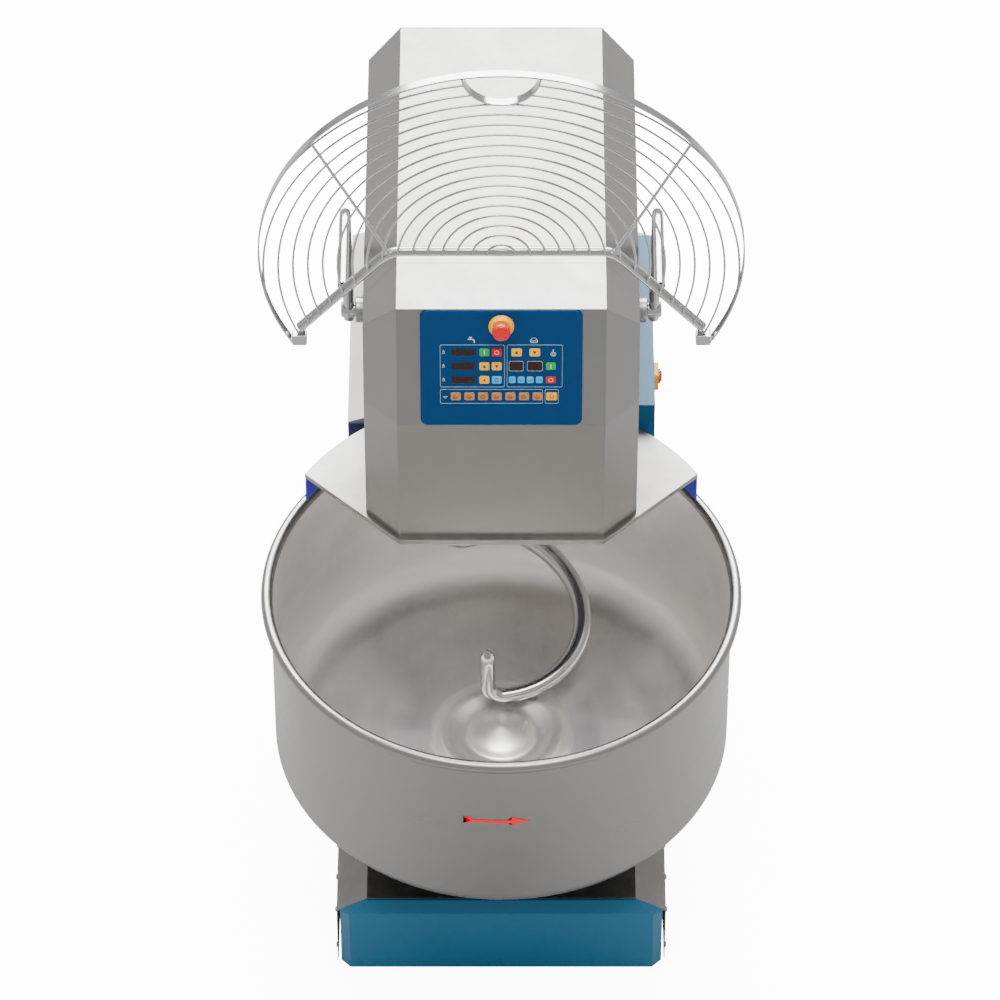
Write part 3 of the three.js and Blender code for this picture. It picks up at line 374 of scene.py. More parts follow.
def finish(name, base, texture, metallic=0.0, rough=(0.3, 0.45), depth=0.0001, variation=0.12, cloud=5.0,
           edge=0.0016, worn=1.25, flour=0.0, coat=0.0, gloss_level=0.5, **texture_values):
    """A material with grain, cloudy colour and gloss, soft edges that rub brighter, and settled flour."""
    material = bpy.data.materials.get(name)
    if material:
        return material
    material = bpy.data.materials.new(name)
    material.use_nodes = True
    tree = material.node_tree
    tree.nodes.clear()
    shader = tree.nodes.new("ShaderNodeBsdfPrincipled")
    output = tree.nodes.new("ShaderNodeOutputMaterial")
    tree.links.new(shader.outputs[0], output.inputs["Surface"])
    grain = use_group(tree, texture, **texture_values)
    streaks = grain.outputs["Streaks" if "Streaks" in grain.outputs else "Value"]
    cloudy = use_group(tree, "Cloudy variation", size=cloud, contrast=1.6)
    edges = use_group(tree, "Edge wear", radius=edge)
    lighter = mixed(tree, cloudy.outputs["Value"], shade(base, 1 - variation), shade(base, 1 + variation))
    streaked = mixed(tree, streaks, lighter, shade(base, 1 + variation * 0.5))
    rubbed = mixed(tree, edges.outputs["Mask"], streaked, shade(base, worn))
    last = rubbed
    if flour > 0:
        dust = use_group(tree, "Settled flour", amount=flour)
        last = mixed(tree, dust.outputs["Mask"], rubbed, (0.82, 0.80, 0.75, 1.0))
    tree.links.new(last, shader.inputs["Base Color"])
    uneven = add_node(tree, "ShaderNodeMath", ((0, cloudy.outputs["Value"]), (1, streaks)), operation="ADD")
    gloss = add_node(
        tree, "ShaderNodeMapRange", ((0, uneven.outputs[0]), (1, 0.3), (2, 1.7), (3, rough[0]), (4, rough[1]))
    )
    tree.links.new(gloss.outputs[0], shader.inputs["Roughness"])
    bump = add_node(tree, "ShaderNodeBump", (("Strength", 1.0), ("Distance", depth),
                                             ("Height", grain.outputs["Height"]),
                                             ("Normal", edges.outputs["Normal"])))
    tree.links.new(bump.outputs[0], shader.inputs["Normal"])
    shader.inputs["Metallic"].default_value = metallic
    shader.inputs["Specular IOR Level"].default_value = gloss_level
    shader.inputs["Coat Weight"].default_value = coat
    shader.inputs["Coat Roughness"].default_value = 0.12
    return material


def stainless(colours, upright=False):
    """Casing sheet, brushed across, or upright with a duller grain and painted 1.9 times lighter as painted light
    for shaded faces.
    """
    if upright:
        # The upright copy is the casing steel painted 1.9 times lighter. This painted light keeps the column's
        # recess, which the skirt shades, reading light.
        return finish("Stainless sheet, brushed upright, painted lighter", shade(colours.stainless, 1.9), "Brushed grain",
                      metallic=1.0, rough=(0.55, 0.70), depth=0.00004, variation=0.07,
                      stretch=(420.0, 420.0, 5.0))
    return finish("Stainless sheet", colours.stainless, "Brushed grain", metallic=1.0, rough=(0.28, 0.44),
                  depth=0.00004, variation=0.07, cloud=3.0, flour=0.12, stretch=(5.0, 420.0, 420.0))


def material_for(slot_name, colours):
    """The finish that goes with one of the record's material slots."""
    centre = (0.0, BOWL_Y, 0.0)
    if slot_name == "stainless":
        return stainless(colours)
    if slot_name == "bowl_stainless":
        return finish("Spun bowl sheet", colours.bowl_steel, "Turned rings", metallic=1.0, rough=(0.22, 0.40),
                      depth=0.00005, variation=0.10, cloud=4.0, flour=0.16, centre=centre, fineness=300.0)
    if slot_name == "polished":
        return finish("Polished bar", colours.chrome, "Fine speckle", metallic=1.0, rough=(0.10, 0.24),
                      depth=0.00003, variation=0.08, cloud=9.0, size=500.0, pits=0.2)
    if slot_name == "steel":
        return finish("Turned steel", (0.42, 0.42, 0.42), "Turned rings", metallic=1.0, rough=(0.26, 0.42),
                      depth=0.00006, centre=(0.0, HOOK_Y, 0.0), fineness=420.0)
    if slot_name == "cast":
        return finish("Cast iron, painted grey", (0.12, 0.125, 0.13), "Fine speckle", metallic=0.35,
                      rough=(0.50, 0.75), depth=0.0004, variation=0.2, worn=1.6, size=420.0, pits=0.6)
    if slot_name == "blue_paint":
        return finish("Blue enamel", colours.blue_paint, "Fine speckle", rough=(0.30, 0.42), depth=0.00008,
                      variation=0.07, cloud=3.0, worn=1.7, gloss_level=0.3,
                      size=260.0, pits=0.4)
    if slot_name == "blue_foil":
        return finish("Blue foil", colours.blue_foil, "Fine speckle", rough=(0.34, 0.48), depth=0.00006,
                      variation=0.06, gloss_level=0.08, size=1200.0, pits=0.4)
    if slot_name == "blue_plastic":
        return finish("Blue moulding", colours.blue_plastic, "Fine speckle", rough=(0.34, 0.50),
                      depth=0.00008,
                      variation=0.08, gloss_level=0.25, size=700.0, pits=0.3)
    if slot_name == "yellow_plastic":
        return finish("Yellow moulding", colours.yellow, "Fine speckle", rough=(0.28, 0.40), depth=0.00005,
                      variation=0.05, gloss_level=0.35, size=900.0, pits=0.3)
    if slot_name == "red_plastic":
        return finish("Red moulding", colours.red, "Fine speckle", rough=(0.20, 0.34), depth=0.00004,
                      variation=0.07, gloss_level=0.35, size=900.0, pits=0.3)
    if slot_name == "grey_plastic":
        return finish("Grey moulding", (0.26, 0.27, 0.28), "Fine speckle", rough=(0.45, 0.60), depth=0.0001,
                      size=800.0, pits=0.5)
    if slot_name == "rubber":
        return finish("Black rubber", (0.012, 0.012, 0.013), "Fine speckle", rough=(0.65, 0.85), depth=0.0002,
                      variation=0.25, worn=2.0, size=500.0, pits=0.6)
    raise ValueError(f"no finish for the slot {slot_name!r}")


# ---------------------------------------------------------------- mesh helpers

def finished(name, bm, material, body, replaced=(), sharp=35.0, bevel=0.0):
    """Turns a bmesh into a piece that rides on a body."""
    bmesh.ops.recalc_face_normals(bm, faces=bm.faces)
    mesh = bpy.data.meshes.new(name)
    bm.to_mesh(mesh)
    bm.free()
    mesh.shade_smooth()
    mesh.set_sharp_from_angle(angle=math.radians(sharp))
    piece = bpy.data.objects.new(name, mesh)
    bpy.context.scene.collection.objects.link(piece)
    piece.data.materials.append(material)
    if bevel > 0:
        rounding = piece.modifiers.new("Soft edges", "BEVEL")
        rounding.width = bevel
        rounding.segments = 3
        rounding.limit_method = "ANGLE"
        rounding.angle_limit = math.radians(30)
        rounding.harden_normals = True
    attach(piece, body)
    if replaced:
        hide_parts(*replaced)
    return piece


def arc(cx, cy, radius, start, stop, steps):
    """Points of an arc in degrees, ends included."""
    points = []
    for i in range(steps + 1):
        angle = math.radians(start + (stop - start) * i / steps)
        points.append((cx + radius * math.cos(angle), cy + radius * math.sin(angle)))
    return points


def rounded_outline(corners, radii, steps=6):
    """Rounds each corner of a polygon with an arc that touches both of its sides."""
    out = []
    count = len(corners)
    for i, corner in enumerate(corners):
        here = Vector(corner)
        before = (Vector(corners[i - 1]) - here).normalized()
        after = (Vector(corners[(i + 1) % count]) - here).normalized()
        radius = radii[i] if isinstance(radii, (list, tuple)) else radii
        if radius <= 0:
            out.append(tuple(here))
            continue
        half = before.angle(after) / 2
        reach = radius / math.tan(half)
        centre = here + (before + after).normalized() * (radius / math.sin(half))
        first = here + before * reach - centre
        last = here + after * reach - centre
        sweep = first.angle_signed(last)
        for k in range(steps + 1):
            turn = -sweep * k / steps
            cosine, sine = math.cos(turn), math.sin(turn)
            out.append((centre.x + first.x * cosine - first.y * sine,
                        centre.y + first.x * sine + first.y * cosine))
    return out


def rectangle(x0, x1, y0, y1, radius=0.0, steps=5):
    return rounded_outline([(x0, y0), (x1, y0), (x1, y1), (x0, y1)], radius, steps)


def prism(bm, outline, low, high, place):
    """A closed prism on an outline; place turns (u, v, w) into a point."""
    count = len(outline)
    bottom = [bm.verts.new(place(u, v, low)) for u, v in outline]
    top = [bm.verts.new(place(u, v, high)) for u, v in outline]
    bm.faces.new(bottom[::-1])
    bm.faces.new(top)
    for i in range(count):
        j = (i + 1) % count
        bm.faces.new((bottom[i], bottom[j], top[j], top[i]))


def pad(bm, outline, low, high, place, inset):
    """A prism whose upper edge is drawn in, as a pressed key or a printed field is."""
    centre = (sum(u for u, _ in outline) / len(outline), sum(v for _, v in outline) / len(outline))
    spread = max(abs(u - centre[0]) for u, _ in outline)
    ratio = 1 - inset / max(spread, 1e-6)
    drawn = [(centre[0] + (u - centre[0]) * ratio, centre[1] + (v - centre[1]) * ratio) for u, v in outline]
    rings = (
        [bm.verts.new(place(u, v, low)) for u, v in outline],
        [bm.verts.new(place(u, v, low + (high - low) * 0.55)) for u, v in outline],
        [bm.verts.new(place(u, v, high)) for u, v in drawn],
    )
    bm.faces.new(rings[0][::-1])
    bm.faces.new(rings[2])
    for lower, upper in zip(rings, rings[1:]):
        for i in range(len(outline)):
            j = (i + 1) % len(outline)
            bm.faces.new((lower[i], lower[j], upper[j], upper[i]))


def lathe(bm, profile, segments, place):
    """Turns a closed or pole-to-pole profile of (radius, height) pairs; place maps (x, y, z)."""
    rings = []
    for radius, height in profile:
        if radius < 1e-7:
            rings.append([bm.verts.new(place(0.0, 0.0, height))])
            continue
        ring = []
        for k in range(segments):
            angle = 2 * math.pi * k / segments
            ring.append(bm.verts.new(place(radius * math.cos(angle), radius * math.sin(angle), height)))
        rings.append(ring)
    closed = profile[0][0] > 1e-7 and profile[-1][0] > 1e-7
    pairs = list(zip(rings, rings[1:]))
    if closed:
        pairs.append((rings[-1], rings[0]))
    for a, b in pairs:
        for k in range(segments):
            n = (k + 1) % segments
            if len(a) == 1 and len(b) == 1:
                continue
            if len(a) == 1:
                bm.faces.new((a[0], b[k], b[n]))
            elif len(b) == 1:
                bm.faces.new((a[k], a[n], b[0]))
            else:
                bm.faces.new((a[k], a[n], b[n], b[k]))


def sweep(bm, path, radius, sides=12, closed=False):
    """A round bar along a path of points; radius is a number or a function of the way along."""
    points = [Vector(p) for p in path]
    count = len(points)
    ways = [0.0]
    for a, b in zip(points, points[1:]):
        ways.append(ways[-1] + (b - a).length)
    tangents = []
    for i in range(count):
        before = points[i - 1] if (i > 0 or closed) else points[i]
        after = points[(i + 1) % count] if (i < count - 1 or closed) else points[i]
        tangents.append((after - before).normalized())
    helper = Vector((0, 0, 1)) if abs(tangents[0].z) < 0.9 else Vector((1, 0, 0))
    normal = tangents[0].cross(helper).normalized()
    rings = []
    for i in range(count):
        if i:
            turn = tangents[i - 1].rotation_difference(tangents[i])
            normal = (turn @ normal).normalized()
        side = tangents[i].cross(normal).normalized()
        thick = radius(ways[i] / ways[-1]) if callable(radius) else radius
        ring = []
        for k in range(sides):
            angle = 2 * math.pi * k / sides
            offset = normal * thick * math.cos(angle) + side * thick * math.sin(angle)
            ring.append(bm.verts.new(points[i] + offset))
        rings.append(ring)
    for a, b in zip(rings, rings[1:]):
        for k in range(sides):
            n = (k + 1) % sides
            bm.faces.new((a[k], a[n], b[n], b[k]))
    bm.faces.new(rings[0][::-1])
    bm.faces.new(rings[-1])


def upright(centre_y, base=0.0):
    """Places turned work about an upright axis at the given Y."""
    return lambda x, y, z: Vector((x, centre_y + y, base + z))


def along_x(x0, y0, z0, sign=1):
    """Places turned work about an axis along X."""
    return lambda x, y, z: Vector((x0 + sign * z, y0 + x, z0 + y * sign))


class PieceOperator:
    """What the operators share: one undo step, and work done in build()."""
    bl_options = {"REGISTER", "UNDO"}

    def execute(self, context):
        self.build(context.scene.dough_mixer)
        return {"FINISHED"}


# ---------------------------------------------------------------- bowl

def bowl_profile(size, rim_radius, rim_height, bottom):
    """Section of the bowl, from the middle of its underside round to the boss on its floor."""
    mm = MM
    floor = bottom + size.wall
    inner = size.wall_radius - size.wall
    bead_centre = rim_radius - size.bead
    profile = [(0.0, bottom), (0.15, bottom), (0.30, bottom)]
    profile += arc(size.wall_radius - size.outer_fillet, bottom + size.outer_fillet, size.outer_fillet,
                   -90, 0, 12)
    profile += [(size.wall_radius, bottom + (rim_height - bottom) * share) for share in (0.35, 0.6, 0.85)]
    profile += arc(bead_centre, rim_height, size.bead, -135, 135, 18)
    profile += [(inner + 1 * mm, rim_height + 2 * mm), (inner, rim_height - 4 * mm)]
    profile += [(inner, floor + (rim_height - floor) * share) for share in (0.8, 0.5, 0.3)]
    profile += arc(inner - size.inner_fillet, floor + size.inner_fillet, size.inner_fillet, 0, -90, 16)
    ring = size.ring_radius
    profile += [(0.30, floor), (ring + 30 * mm, floor), (ring + 22 * mm, floor + 1 * mm)]
    profile += [(ring + 10 * mm, floor + 6 * mm), (ring + 3 * mm, floor + 10.5 * mm),
                (ring - 4 * mm, floor + 12 * mm)]
    profile += [(ring - 18 * mm, floor + 12 * mm), (ring - 25 * mm, floor + 10 * mm),
                (ring - 34 * mm, floor + 5 * mm)]
    boss, high = size.boss_radius, size.boss_height
    profile += [(boss + 14 * mm, floor + 2 * mm), (boss + 4 * mm, floor + 1.6 * mm)]
    profile += [(boss, floor + high * 0.14), (boss * 0.93, floor + high * 0.32),
                (boss * 0.84, floor + high * 0.46)]
    profile += [(boss * 0.68, floor + high * 0.62), (boss * 0.48, floor + high * 0.76),
                (boss * 0.28, floor + high * 0.87)]
    profile += [(boss * 0.10, floor + high * 0.97), (0.0, floor + high)]
    return profile


class MIXER_OT_bowl(PieceOperator, bpy.types.Operator):
    """The spun bowl with its rolled rim, and the arrow that shows which way it turns"""
    bl_idname = "mixer.bowl"
    bl_label = "Bowl"

    def build(self, mixer):
        size = mixer.bowl
        low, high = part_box("bowl")
        rim_radius = high.x
        rim_height = high.z - size.bead
        bm = bmesh.new()
        profile = bowl_profile(size, rim_radius - 0.0002, rim_height, low.z)
        lathe(bm, profile, size.segments, upright(BOWL_Y))
        # The inside of the bowl gets a copy of the bowl steel painted 3.1 times lighter: a painted highlight for
        # the light that falls into the open bowl.
        inside = finish("Spun bowl sheet, inside, painted lighter", shade(mixer.colours.bowl_steel, 3.1), "Turned rings",
                        metallic=1.0,
                        rough=(0.30, 0.50), depth=0.00006, variation=0.12, cloud=6.0, flour=0.10,
                        centre=(0.0, BOWL_Y, 0.0), fineness=260.0)
        sheet = finished("bowl_sheet", bm, material_for("bowl_stainless", mixer.colours), "bowl",
                         ("bowl",), sharp=50)
        sheet.data.materials.append(inside)
        # Faces inside the wall and over the floor take the lighter copy of the bowl steel, painted light.
        axis = Vector((0.0, BOWL_Y, 0.0))
        for face in sheet.data.polygons:
            outward = Vector((face.center.x - axis.x, face.center.y - axis.y, 0.0))
            within = outward.length < size.wall_radius - size.wall * 0.5
            low_wall = within and face.center.z > low.z + size.wall * 0.5
            if low_wall and outward.length < rim_radius - 2 * size.bead:
                face.material_index = 1

        # The arrow is a thin raised transfer that follows the wall.
        half = size.arrow_length / 2
        head, tail = 0.018, 0.0048
        shape = [(-half, -tail), (half - 0.040, -tail), (half - 0.040, -head * 0.75), (half, 0.0),
                 (half - 0.040, head * 0.75), (half - 0.040, tail), (-half, tail), (-half - 0.004, 0.011),
                 (-half - 0.020, 0.011), (-half - 0.004, 0.0), (-half - 0.020, -0.011),
                 (-half - 0.004, -0.011)]
        middle = low.z + (rim_height - low.z) * 0.61
        bm = bmesh.new()
        radius = size.wall_radius

        def on_wall(u, v, w):
            angle = u / radius
            return Vector(((radius + w) * math.sin(angle), BOWL_Y - (radius + w) * math.cos(angle),
                           middle + v))

        fine = []
        for (u0, v0), (u1, v1) in zip(shape, shape[1:] + shape[:1]):
            steps = max(1, round(abs(u1 - u0) / 0.008))
            fine += [(u0 + (u1 - u0) * k / steps, v0 + (v1 - v0) * k / steps) for k in range(steps)]
        prism(bm, fine, 0.0002, 0.0007, on_wall)
        bmesh.ops.triangulate(bm, faces=[face for face in bm.faces if len(face.verts) > 4])
        transfer = finish("Red transfer", (0.85, 0.004, 0.014), "Fine speckle", rough=(0.45, 0.60),
                          depth=0.00003,
                          variation=0.04, gloss_level=0.15, size=900.0, pits=0.2)
        finished("turning_arrow", bm, transfer, "bowl")


# ---------------------------------------------------------------- spiral hook

def hook_path(size, floor):
    """Centre line of the spiral, from its free end to its root."""
    start = floor + size.floor_gap
    tip_x = -0.030
    tip_y = HOOK_Y - size.radius
    points = [Vector((tip_x, tip_y, start + size.bend + (size.stub - size.bend) * k / 6))
              for k in range(6, 0, -1)]
    for step in range(9):
        angle = math.radians(90 * step / 8)
        points.append(Vector((tip_x + size.bend * (1 - math.cos(angle)), tip_y,
                              start + size.bend * (1 - math.sin(angle)))))
    first = (tip_x + size.bend) / size.radius / (2 * math.pi)
    for step in range(1, 121):
        t = first + (size.turns - first) * step / 120
        angle = 2 * math.pi * t
        inward = max(0.0, (t - 0.55) / (size.turns - 0.55))
        radius = size.radius * (1 - inward ** 2 * (3 - 2 * inward) * 0.93)
        height = start + 0.115 * t + 0.430 * t * t
        points.append(Vector((radius * math.sin(angle), HOOK_Y - radius * math.cos(angle), height)))
    return points


class MIXER_OT_hook(PieceOperator, bpy.types.Operator):
    """The spiral kneading tool, forged to a taper and polished, with its root and flange"""
    bl_idname = "mixer.hook"
    bl_label = "Spiral hook"

    def build(self, mixer):
        size = mixer.hook
        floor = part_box("bowl")[0].z + mixer.bowl.wall
        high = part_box("spiral_hook")[1]
        plate_low, plate_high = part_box("bowl_cover_plate")
        bm = bmesh.new()
        path = hook_path(size, floor)
        tip, root = size.tip_radius, size.root_radius

        def thickness(way):
            rounded = min(1.0, math.sqrt(max(0.0, 1 - (1 - min(1.0, way / 0.012)) ** 2)) + 0.25)
            return (tip + (root - tip) * way) * rounded

        sweep(bm, path, thickness, sides=28)
        end = path[-1].z
        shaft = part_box("spiral_shaft")[1].x
        root_profile = [(0.0, end - 0.046), (0.014, end - 0.045), (0.022, end - 0.040), (0.028, end - 0.028),
                        (shaft - 0.001, end - 0.014), (shaft, end - 0.008), (shaft, plate_low.z - 0.022)]
        root_profile += [(0.040, plate_low.z - 0.018), (0.058, plate_low.z - 0.016),
                         (0.0615, plate_low.z - 0.013),
                         (0.062, plate_high.z - 0.006), (0.060, plate_high.z - 0.003),
                         (shaft, plate_high.z - 0.003)]
        root_profile += [(shaft, high.z), (0.0, high.z)]
        lathe(bm, root_profile, 64, upright(HOOK_Y))
        finished("spiral_bar", bm, material_for("polished", mixer.colours), "spiral",
                 ("spiral_hook",),
                 sharp=50)


# ---------------------------------------------------------------- guard

class GuardPlace:
    """Where the raised guard stands: its centre, its radius and the straight tubes' ends."""

    def __init__(self, size):
        low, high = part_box("guard_grid")
        self.radius = high.x
        self.centre_z = high.z - self.radius
        self.tube_y = low.y + size.tube + size.band_depth / 2
        self.band_y = low.y + size.band_depth / 2
        self.low_end = self.centre_z - low.z
        self.diagonal_x = size.diagonal_end
        self.diagonal_drop = size.diagonal_drop
        self.slope = self.diagonal_drop / (self.diagonal_x - size.chord_half)

    def start_of(self, radius, size):
        """Angle at which a wire meets the chord tube or, past its ends, the slanting tube."""
        angle = math.asin(size.drop)
        if radius * math.cos(angle) <= size.chord_half:
            return angle
        while angle > -1:
            below = radius * (size.drop - math.sin(angle))
            if below >= self.slope * (radius * math.cos(angle) - size.chord_half):
                break
            angle -= 0.002
        return angle


class MIXER_OT_guard(PieceOperator, bpy.types.Operator):
    """The wire guard: hoop, pouring notch, ring wires, spokes and frame tubes, with its two side arms"""
    bl_idname = "mixer.guard"
    bl_label = "Wire guard"

    def build(self, mixer):
        size = mixer.guard
        place = GuardPlace(size)
        bright = material_for("polished", mixer.colours)
        bm = bmesh.new()
        wire_y = place.band_y - 0.0005
        notch_z = place.radius

        def at(x, z, y=wire_y):
            return Vector((x, y, place.centre_z + z))

        # Ring wires, left out inside the notch and past the hoop.
        count = int((place.radius - size.band - 0.012) / (size.pitch * (1 - size.drop)))
        for ring in range(1, count + 1):
            radius = size.pitch * ring
            begin = place.start_of(radius, size)
            steps = max(10, round(radius * (math.pi - 2 * begin) / 0.014))
            run = []
            for k in range(steps + 1):
                angle = begin + (math.pi - 2 * begin) * k / steps
                x, z = radius * math.cos(angle), radius * (math.sin(angle) - size.drop)
                inside = math.hypot(x, z) < place.radius - size.band / 2
                if inside and math.hypot(x, z - notch_z) > size.notch + 0.001:
                    run.append(at(x, z))
                elif len(run) > 1:
                    sweep(bm, run, size.wire, sides=8)
                    run = []
                else:
                    run = []
            if len(run) > 1:
                sweep(bm, run, size.wire, sides=8)

        # The hoop, a flat strip on edge, and the half ring round the notch.
        low_angle = -math.degrees(math.asin((place.low_end - 0.001) / place.radius))
        inner, outer = place.radius - size.band, place.radius - 0.0002
        strip = arc(0, 0, outer, low_angle, 180 - low_angle,
                    150) + arc(0, 0, inner, 180 - low_angle, low_angle, 150)

        def band_at(u, v, w):
            return Vector((u, place.band_y + w, place.centre_z + v))

        half = size.band_depth / 2 - 0.0003
        prism(bm, strip, -half, half, band_at)
        lip = size.notch + size.band
        ring_band = arc(0, notch_z, lip, 186, 354, 48) + arc(0, notch_z, size.notch, 354, 186, 48)
        prism(bm, ring_band, -half, half, band_at)

        # Spokes, frame tubes, and the end plates.
        reach = place.radius - size.band
        for _, sign in SIDES:
            angle = size.spoke_angle
            sweep(bm, [at(sign * size.chord_half, 0),
                       at(sign * reach * math.cos(angle), reach * math.sin(angle))],
                  size.spoke, sides=10)
            x = sign * (place.radius * math.cos(math.radians(low_angle)) - 0.013)
            plate = rectangle(x - 0.016, x + 0.016, -place.low_end, -place.low_end + 0.027, 0.004)
            prism(bm, plate, -0.009, 0.013, band_at)
        frame_path = [at(-place.diagonal_x, -place.diagonal_drop, place.tube_y)]
        bend = 0.030
        for sign in (-1, 1):
            corner = at(sign * size.chord_half, 0, place.tube_y)
            down = (at(sign * place.diagonal_x, -place.diagonal_drop, place.tube_y) - corner).normalized()
            across = Vector((-sign, 0, 0))
            pair = [corner + (down if sign < 0 else across) * bend,
                    corner + (across if sign < 0 else down) * bend]
            for k in range(9):
                t = k / 8
                frame_path.append(pair[0] * (1 - t) ** 2 + corner * 2 * t * (1 - t) + pair[1] * t ** 2)
        frame_path.append(at(place.diagonal_x, -place.diagonal_drop, place.tube_y))
        sweep(bm, frame_path, size.tube, sides=22)
        finished("guard_wires", bm, bright, "guard", ("guard_grid",), sharp=40)

        for side, sign in SIDES:
            self.arm(side, sign, size, place, bright)

    def arm(self, side, sign, size, place, bright):
        x = sign * size.arm_span
        z = place.centre_z - place.slope * (abs(x) - size.chord_half)
        start_y = place.tube_y + size.tube + 0.0033
        turn_y = place.tube_y + size.arm_reach
        corner = Vector((x, turn_y, z))
        down = (Vector((x, PIVOT.y, PIVOT.z)) - corner).normalized()
        reach = size.arm_bend
        path = [Vector((x, start_y, z)), Vector((x, turn_y - reach * 1.6, z))]
        for k in range(13):
            t = k / 12
            path.append(Vector((x, turn_y - reach, z)) * (1 - t) ** 2 + corner * 2 * t * (1 - t)
                        + (corner + down * reach) * t ** 2)
        path.append(Vector((x, PIVOT.y, PIVOT.z)) + down * size.arm_tail)
        bm = bmesh.new()
        sweep(bm, path, size.arm, sides=26)
        gap = 0.0003
        hub_near = size.head_half + gap
        hub_far = hub_near + size.hub_length
        inner, outer = hub_far + gap, size.boss_end
        boss = [(0.0, inner), (0.0165, inner), (0.0175, inner + 0.001), (0.0175, outer - 0.003),
                (0.0150, outer), (0.0, outer)]
        lathe(bm, boss, 40, along_x(0.0, PIVOT.y, PIVOT.z, sign))
        finished(f"guard_arm_{side}_bar", bm, bright, "guard", (f"guard_arm_{side}",), sharp=40)
        hub = [(0.0088, hub_near + 0.0001), (0.0288, hub_near + 0.0001), (0.0290, hub_near + 0.0007),
               (0.0290, hub_far - 0.002),
               (0.0272, hub_far), (0.0200, hub_far), (0.0190, hub_far - 0.0012), (0.0088, hub_far - 0.0012)]
        bm = bmesh.new()
        lathe(bm, hub, 48, along_x(0.0, PIVOT.y, PIVOT.z, sign))
        finished(f"guard_hub_{side}_ring", bm, material_for("steel", mixer_colours()), "machine",
                 (f"guard_hub_{side}",))


def mixer_colours():
    return bpy.context.scene.dough_mixer.colours


# ---------------------------------------------------------------- plate and skirt

class MIXER_OT_cover(PieceOperator, bpy.types.Operator):
    """The stainless plate over the back of the bowl, and the blue skirt below its edge"""
    bl_idname = "mixer.cover"
    bl_label = "Cover plate and skirt"

    def build(self, mixer):
        low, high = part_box("bowl_cover_plate")
        skirt_low, skirt_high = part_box("bowl_skirt")
        corner_x = high.x
        corner_y = skirt_low.y - BOWL_Y
        radius = math.hypot(corner_x, corner_y)
        front = low.y - BOWL_Y
        front_half = 0.221
        start = math.degrees(math.atan2(corner_y, corner_x))
        straight = rounded_outline(
            [(-corner_x, corner_y), (-front_half, front), (front_half, front), (corner_x, corner_y)],
            [0.0, 0.016, 0.016, 0.0])
        outline = straight[1:-1] + arc(0, 0, radius - 0.0002, start, 180 - start, 120)

        def flat(u, v, w):
            return Vector((u, BOWL_Y + v, w))

        bm = bmesh.new()
        hole = arc(0, HOOK_Y - BOWL_Y, 0.078, 0, 360, 72)[:-1]
        self.plate_with_hole(bm, outline, hole, low.z, high.z, flat)
        finished("cover_plate_sheet", bm, stainless(mixer.colours), "machine",
                 ("bowl_cover_plate",),
                 bevel=0.0012)
        bm = bmesh.new()
        wall = 0.005
        outer = arc(0, 0, radius - 0.0002, start, 180 - start, 140)
        inner = arc(0, 0, radius - wall, 180 - start, start, 140)
        prism(bm, outer + inner, skirt_low.z, skirt_high.z, flat)
        finished("skirt_moulding", bm, material_for("blue_plastic", mixer.colours), "machine",
                 ("bowl_skirt",), bevel=0.0012)

    @staticmethod
    def plate_with_hole(bm, outline, hole, low, high, place):
        levels = []
        for height in (low, high):
            outer = [bm.verts.new(place(u, v, height)) for u, v in outline]
            inner = [bm.verts.new(place(u, v, height)) for u, v in hole]
            edges = [bm.edges.new((ring[i], ring[(i + 1) % len(ring)])) for ring in (outer, inner)
                     for i in range(len(ring))]
            bmesh.ops.triangle_fill(bm, use_beauty=True, use_dissolve=False, edges=edges)
            levels.append((outer, inner))
        for ring in (0, 1):
            bottom, top = levels[0][ring], levels[1][ring]
            for i in range(len(bottom)):
                j = (i + 1) % len(bottom)
                bm.faces.new((bottom[i], bottom[j], top[j], top[i]))


# ---------------------------------------------------------------- control panel

class PanelPlace:
    """The leaning front of the head: u across, v up along the panel, w out of it."""

    def __init__(self, size):
        low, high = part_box("control_panel")
        self.out = -PRESS
        self.up = Vector((0, -self.out.z, self.out.y)) * -1
        if self.up.z < 0:
            self.up = -self.up
        lean = abs(self.out.z)
        rise = abs(self.up.z)
        self.width = high.x - low.x
        self.height = ((high.z - low.z) - size.thickness * lean) / rise
        middle = (low + high) / 2
        self.face = middle + self.out * (size.thickness / 2)
        self.back = middle - self.out * (size.thickness / 2)

    def on(self, u, v, w):
        return self.face + Vector((1, 0, 0)) * u + self.up * v + self.out * w


def key_shape(u, v, width, height):
    return rectangle(u - width / 2, u + width / 2, v - height / 2, v + height / 2, 0.0035, 4)


LEFT_ROWS = (0.0407, 0.0055, -0.0290)
LEFT_KEYS = (-0.0360, -0.0097)
RIGHT_ROWS = (0.0407, 0.0057, -0.0290)
DISPLAY = (-0.0808, 0.0495, 0.0180)
PROGRAM_STEP = 0.0290


